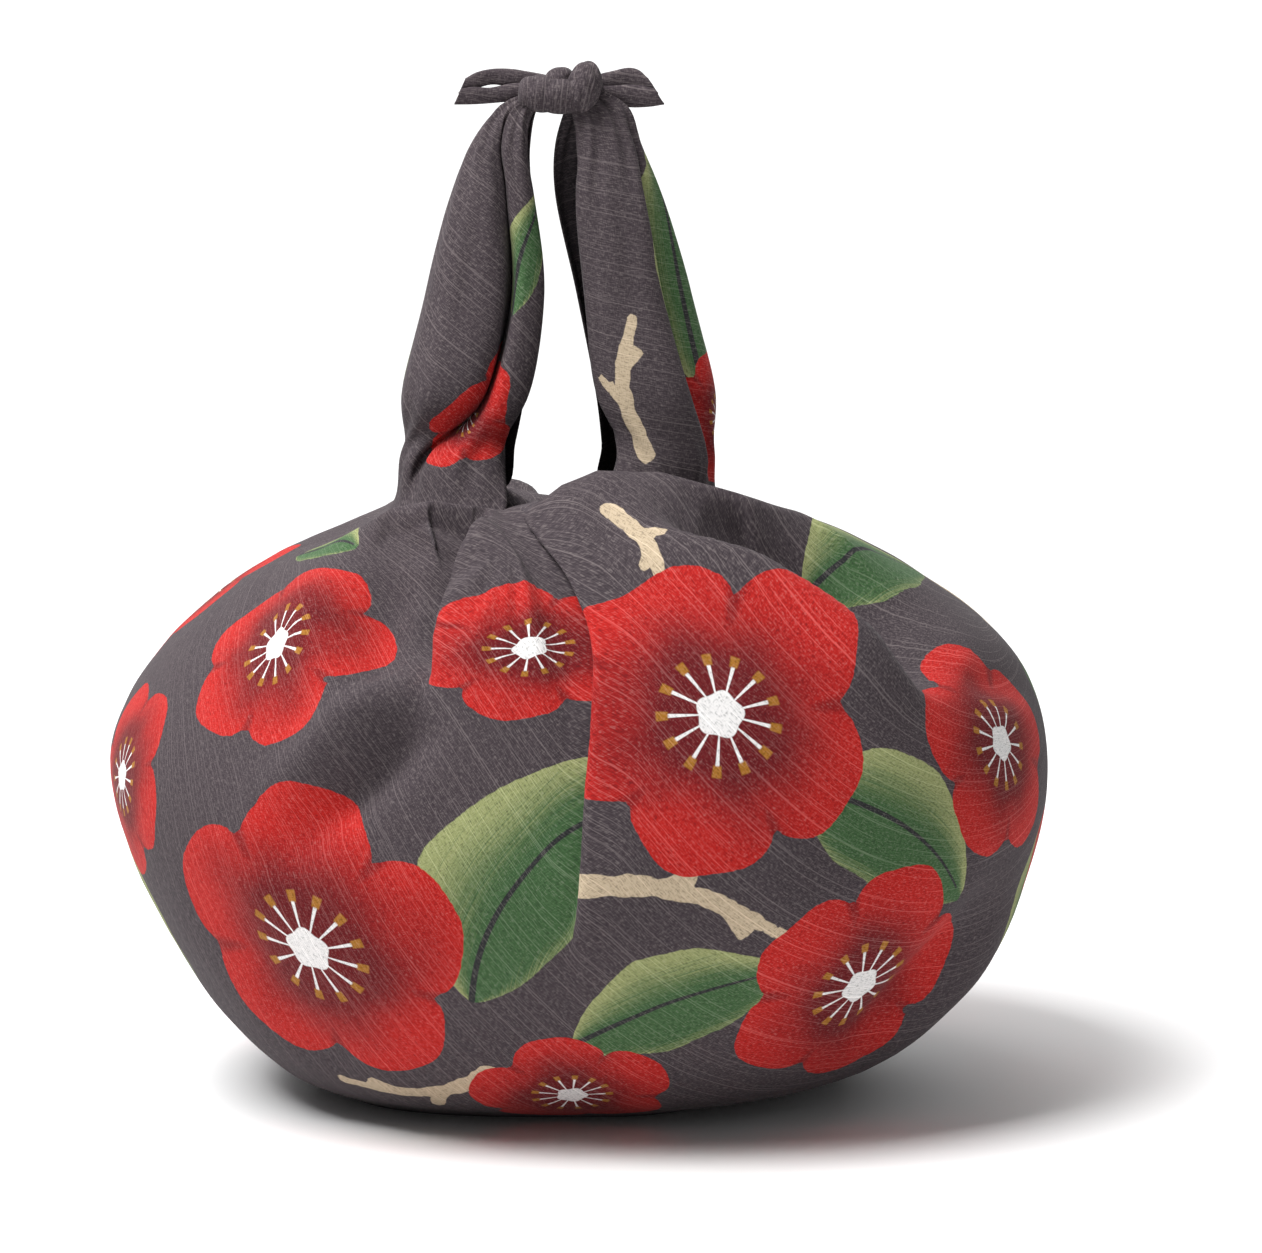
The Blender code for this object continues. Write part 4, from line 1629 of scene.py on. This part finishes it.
        thicken(cloth, self.thickness, face, reverse)
        cloth.modifiers[0].use_quality_normals = True
        return cloth


def printed_fields(
    places: np.ndarray, normals: np.ndarray, motifs: tuple[Motif, ...]
) -> PrintFields:
    """Lay motifs on points of the cloth.

    Args:
        places: the points.
        normals: their normals.
        motifs: what is printed.

    Returns:
        The fields of all motifs.
    """
    fields = PrintFields.bare(len(places))
    for motif in motifs:
        motif.lay(fields, places, normals)
    return fields


class Creasing(Enum):
    """How a turn of the knot is creased: around its length, or in a swirl from one side."""

    AROUND = "around"
    SWIRL = "swirl"


@dataclass(frozen=True)
class Lump:
    """One drawn-tight turn of the knot, in mm, creased by the pull."""

    name: str
    x: float
    y: float
    z: float
    half_x: float
    half_y: float
    half_z: float
    tilt: float
    creases: float
    depth: float
    creasing: Creasing

    def grid(self, columns: int, rows: int) -> np.ndarray:
        """Points of the turn.

        Args:
            columns: how many points go around it.
            rows: how many rings it has from end to end.

        Returns:
            Rings of points in metres, along the turn.
        """
        around = np.linspace(0, 2 * np.pi, columns, endpoint=False)[None, :]
        along = np.linspace(-1, 1, rows)[:, None]
        end = 0.9999 * np.abs(np.sin(along * np.pi / 2))
        swirl = self.creasing is Creasing.SWIRL
        power = 2.0 if swirl else 3.4
        girth = (1 - end ** power) ** (1 / power)
        x = np.sin(along * np.pi / 2) * np.ones_like(around)
        y = girth * np.cos(around)
        z = girth * np.sin(around)
        unit = np.stack((x, y, z), axis=-1)
        if swirl:
            place = np.linalg.norm(unit - SWIRL_CENTRE, axis=2) + 0.05 * np.sin(3 * around)
        else:
            place = x + 0.10 * np.sin(around * 2 + 0.6) + 0.05 * np.sin(around * 5)
        uneven = place * self.creases + 0.9 * np.sin(place * 2.3 + 1)
        crease = np.abs(np.sin(uneven)) ** 0.75 - 0.6
        half = np.array((self.half_x, self.half_y, self.half_z))
        points = unit * (half + self.depth * crease[..., None] * girth[..., None] ** 0.5)
        cos, sin = math.cos(math.radians(self.tilt)), math.sin(math.radians(self.tilt))
        turned = np.stack((
            points[..., 0] * cos + points[..., 2] * sin,
            points[..., 1],
            points[..., 2] * cos - points[..., 0] * sin,
        ), axis=-1)
        return (turned + (self.x, self.y, self.z)) * MM


@dataclass
class Knot:
    """The turns of the knot, where the two strap ends are tied."""

    columns: int = 84
    rows: int = 72
    lumps: tuple[Lump, ...] = (
        Lump("band", -11, -4, 417.4, 13.6, 10, 7.6, 5, 4.2, 0.6, Creasing.AROUND),
        Lump("ball", 2.6, -6, 420.8, 7.2, 9.4, 10.6, 14, 8.0, 0.9, Creasing.SWIRL),
        Lump("back turn", -4, 5, 417, 15, 8, 8, 0, 4.0, 0.5, Creasing.AROUND),
        Lump("upper fold", -8, -1, 423.6, 6.5, 7, 4.8, -22, 5.0, 0.5, Creasing.SWIRL),
    )

    def build(self, face: bpy.types.Material) -> bpy.types.Object:
        """Make the knot as one piece.

        Args:
            face: the cloth that it is tied of.

        Returns:
            The knot.
        """
        parts = MeshParts()
        caps = []
        for patch, lump in enumerate(self.lumps, start=Patch.KNOT):
            grid = lump.grid(self.columns, self.rows)
            numbers = parts.add_points(grid)
            girth = np.linspace(0, 2 * np.pi * lump.half_z, self.columns + 1)
            run = np.linspace(-lump.half_x, lump.half_x, self.rows)
            place = np.broadcast_arrays(girth[None, :], run[:, None], float(patch))
            weave = np.stack(place, axis=-1)
            parts.add_quads(numbers[:, ::-1], weave[:, ::-1], closed=True)
            caps.append((numbers[0], weave[0, :-1]))
            caps.append((numbers[-1][::-1], weave[-1, :-1][::-1]))
        knot = parts.object("wrap_knot", caps, [])
        knot.data.materials.append(face)
        return knot


@dataclass(frozen=True)
class EndStation:
    """One section of a free end, in mm: its edges, its depth and how far its fold gapes."""

    x: float
    y: float
    top: float
    bottom: float
    half_depth: float
    gape: float


@dataclass
class FreeEnd:
    """One free end: the corner of the cloth, folded along its length into two layers."""

    name: str
    stations: tuple[EndStation, ...]
    slant: float
    thickness: float = 0.7
    weft_angle: float = 8.0
    section_points: int = 30
    steps: int = 7

    def lobe(self, upper: bool) -> np.ndarray:
        """One fold of the end, as rings of points in metres.

        Args:
            upper: the upper fold or the lower one.

        Returns:
            One ring for each section.
        """
        turn = np.linspace(0, 2 * np.pi, self.section_points, endpoint=False)
        rings = []
        for row in self.stations:
            middle = (row.top + row.bottom) / 2
            high, low = (row.top, middle + row.gape) if upper else (middle - row.gape, row.bottom)
            depth = row.half_depth * (0.9 if upper else 1.0)
            shift = 1.1 if upper else -1.0
            across = np.sign(np.cos(turn)) * np.abs(np.cos(turn)) ** 0.85
            height = (high + low) / 2 + (high - low) / 2 * np.sin(turn)
            ring = (np.full_like(turn, row.x), row.y + shift + depth * across, height)
            rings.append(np.column_stack(ring))
        stations = np.stack(rings) * MM
        grid = spline_rows(stations, [self.steps] * (len(stations) - 1))
        share = (np.linspace(0, 1, len(grid)) ** 3)[:, None]
        middle = (self.stations[-1].top + self.stations[-1].bottom) / 2 * MM
        grid[..., 0] += share * self.slant * (middle - grid[..., 2])
        flutter = 0.25 * np.sin(turn * 2 + 1)[None, :] + 0.5 * np.sin(grid[..., 0] / MM * 0.35)
        grid[..., 1] += flutter * MM * share ** 0.3
        return grid

    def build(self, face: bpy.types.Material, reverse: bpy.types.Material) -> bpy.types.Object:
        """Make the end.

        Args:
            face: the printed side.
            reverse: the other side.

        Returns:
            The end, as thin cloth.
        """
        parts = MeshParts()
        for patch, upper in ((Patch.UPPER_END, True), (Patch.LOWER_END, False)):
            grid = self.lobe(upper)
            if self.stations[-1].x > self.stations[0].x:
                grid = grid[:, ::-1]
            numbers = parts.add_points(grid)
            closed = np.concatenate((grid, grid[:, :1]), axis=1)
            weave = SackSheet.woven(closed[..., 0], closed[..., 2], self.weft_angle, patch)
            parts.add_quads(numbers[:, ::-1], weave[:, ::-1], closed=True)
        end = parts.object(self.name, [], [])
        thicken(end, self.thickness, face, reverse)
        return end


FREE_ENDS: tuple[FreeEnd, ...] = (
    FreeEnd("free_end_left", (
        EndStation(-8, 4, 424, 416, 3.0, -1.0),
        EndStation(-20, 5, 426.2, 415.2, 3.0, -1.2),
        EndStation(-28, 5, 427.4, 414.0, 2.8, -0.8),
        EndStation(-36.5, 5, 427.4, 413.2, 2.5, 0.5),
        EndStation(-44, 4, 426.0, 412.8, 2.2, -0.8),
        EndStation(-49, 3, 423.6, 412.8, 1.7, -1.2),
    ), -0.42),
    FreeEnd("free_end_right", (
        EndStation(4, 5, 424, 415, 3.0, -1.0),
        EndStation(14, 6, 426.4, 412.4, 3.0, -1.2),
        EndStation(22, 6, 427.8, 411.4, 2.8, -1.4),
        EndStation(28, 5, 426.6, 411.8, 2.4, -1.4),
        EndStation(32.5, 4, 423.6, 412.8, 1.8, -1.2),
    ), 0.62),
)


@dataclass(frozen=True)
class FloorPaper:
    """Uncoated pale paper, rolled out flat, which gives the eye an even matt white."""

    colour: str = "#F3F3F3"
    roughness: float = 0.95
    specular: float = 0.1

    def material(self) -> bpy.types.Material:
        """The material of the paper.

        Returns:
            A plain matt material.
        """
        return principled("uncoated_pale_paper", {
            "Base Color": linear(self.colour),
            "Roughness": self.roughness,
            "Specular IOR Level": self.specular,
        })


@dataclass(frozen=True)
class Lamp:
    """A soft square light: its place, side and power, in metres and watts, and its aim."""

    name: str
    place: Point
    size: float
    power: float
    aim: Point = (0.0, 0.0, 0.18)

    def hang(self) -> None:
        """Add the light."""
        lamp = bpy.data.lights.new(self.name, "AREA")
        lamp.size = self.size
        lamp.energy = self.power
        thing = bpy.data.objects.new(self.name, lamp)
        thing.location = self.place
        way = Vector(self.aim) - Vector(self.place)
        thing.rotation_euler = way.to_track_quat("-Z", "Y").to_euler()
        bpy.context.scene.collection.objects.link(thing)


@dataclass
class Studio:
    """A plain pale floor, soft light and the camera. Sizes are in metres and degrees."""

    floor_radius: float = 14.0
    distance: float = 2.6
    elevation: float = 9.0
    target: Point = (0.022, 0.0, 0.194)
    frame_width: float = 0.530
    sensor_mm: float = 36.0
    surroundings: float = 0.17
    lamps: tuple[Lamp, ...] = (
        Lamp("key", (-1.3, -0.8, 2.85), 1.6, 146),
        Lamp("fill", (1.9, -2.0, 1.0), 1.8, 3),
        Lamp("top", (-0.3, 0.3, 2.4), 1.4, 14),
        Lamp("background", (0.0, 8.5, 4.0), 12.0, 760, (0.0, 8.6, 0.0)),
    )

    def floor(self) -> bpy.types.Object:
        """Make the floor.

        Returns:
            A large round sheet at the height 0.
        """
        bm = bmesh.new()
        bmesh.ops.create_circle(bm, cap_ends=True, segments=96, radius=self.floor_radius)
        mesh = bpy.data.meshes.new("floor")
        bm.to_mesh(mesh)
        bm.free()
        floor = bpy.data.objects.new("floor", mesh)
        bpy.context.scene.collection.objects.link(floor)
        mesh.materials.append(FloorPaper().material())
        return floor

    def lights(self) -> None:
        """Add the lights and the pale surroundings."""
        for lamp in self.lamps:
            lamp.hang()
        world = bpy.data.worlds.new("pale surroundings")
        world.use_nodes = True
        shader = world.node_tree.nodes["Background"]
        shader.inputs["Color"].default_value = (1, 1, 1, 1)
        shader.inputs["Strength"].default_value = self.surroundings
        bpy.context.scene.world = world

    def camera(self) -> None:
        """Set the camera a little above the bag, in front of it."""
        data = bpy.data.cameras.new("camera")
        data.sensor_width = self.sensor_mm
        data.lens = self.sensor_mm * self.distance / self.frame_width
        camera = bpy.data.objects.new("camera", data)
        lift = math.radians(self.elevation)
        away = Vector((0, -math.cos(lift), math.sin(lift))) * self.distance
        camera.location = Vector(self.target) + away
        camera.rotation_euler = (-away).to_track_quat("-Z", "Y").to_euler()
        bpy.context.scene.collection.objects.link(camera)
        bpy.context.scene.camera = camera


def main() -> None:
    """Build the wrap and its surroundings."""
    logging.basicConfig(level=logging.INFO, format="%(name)s: %(message)s")
    face = SlubCotton().material()
    plain = SlubCotton(name="slub_cotton_dyed", printed=False).material()
    reverse = SlubCotton(name="slub_cotton_reverse", printed=False, ground="#4A4347").material()
    cloth = SackSheet().build(face, reverse)
    pieces = [cloth, Knot().build(plain)]
    pieces += [end.build(plain, reverse) for end in FREE_ENDS]
    for piece in pieces:
        bpy.context.scene.collection.objects.link(piece)
        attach(piece, "root")
        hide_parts("wrap_cloth")
        LOG.info("%s: %d faces", piece.name, len(piece.data.polygons))
    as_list(pieces[1:])
    studio = Studio()
    studio.floor()
    studio.lights()
    studio.camera()
    bpy.context.scene.view_settings.view_transform = "Standard"
    write_sizes(pieces)


def write_sizes(pieces: list[bpy.types.Object]) -> None:
    """Work out the corners of the boxes of the visual pieces.

    Args:
        pieces: all visual pieces.
    """
    graph = bpy.context.evaluated_depsgraph_get()
    corners = []
    for piece in pieces:
        made = piece.evaluated_get(graph)
        corners += [made.matrix_world @ Vector(corner) for corner in made.bound_box]


if __name__ == "__main__":
    main()
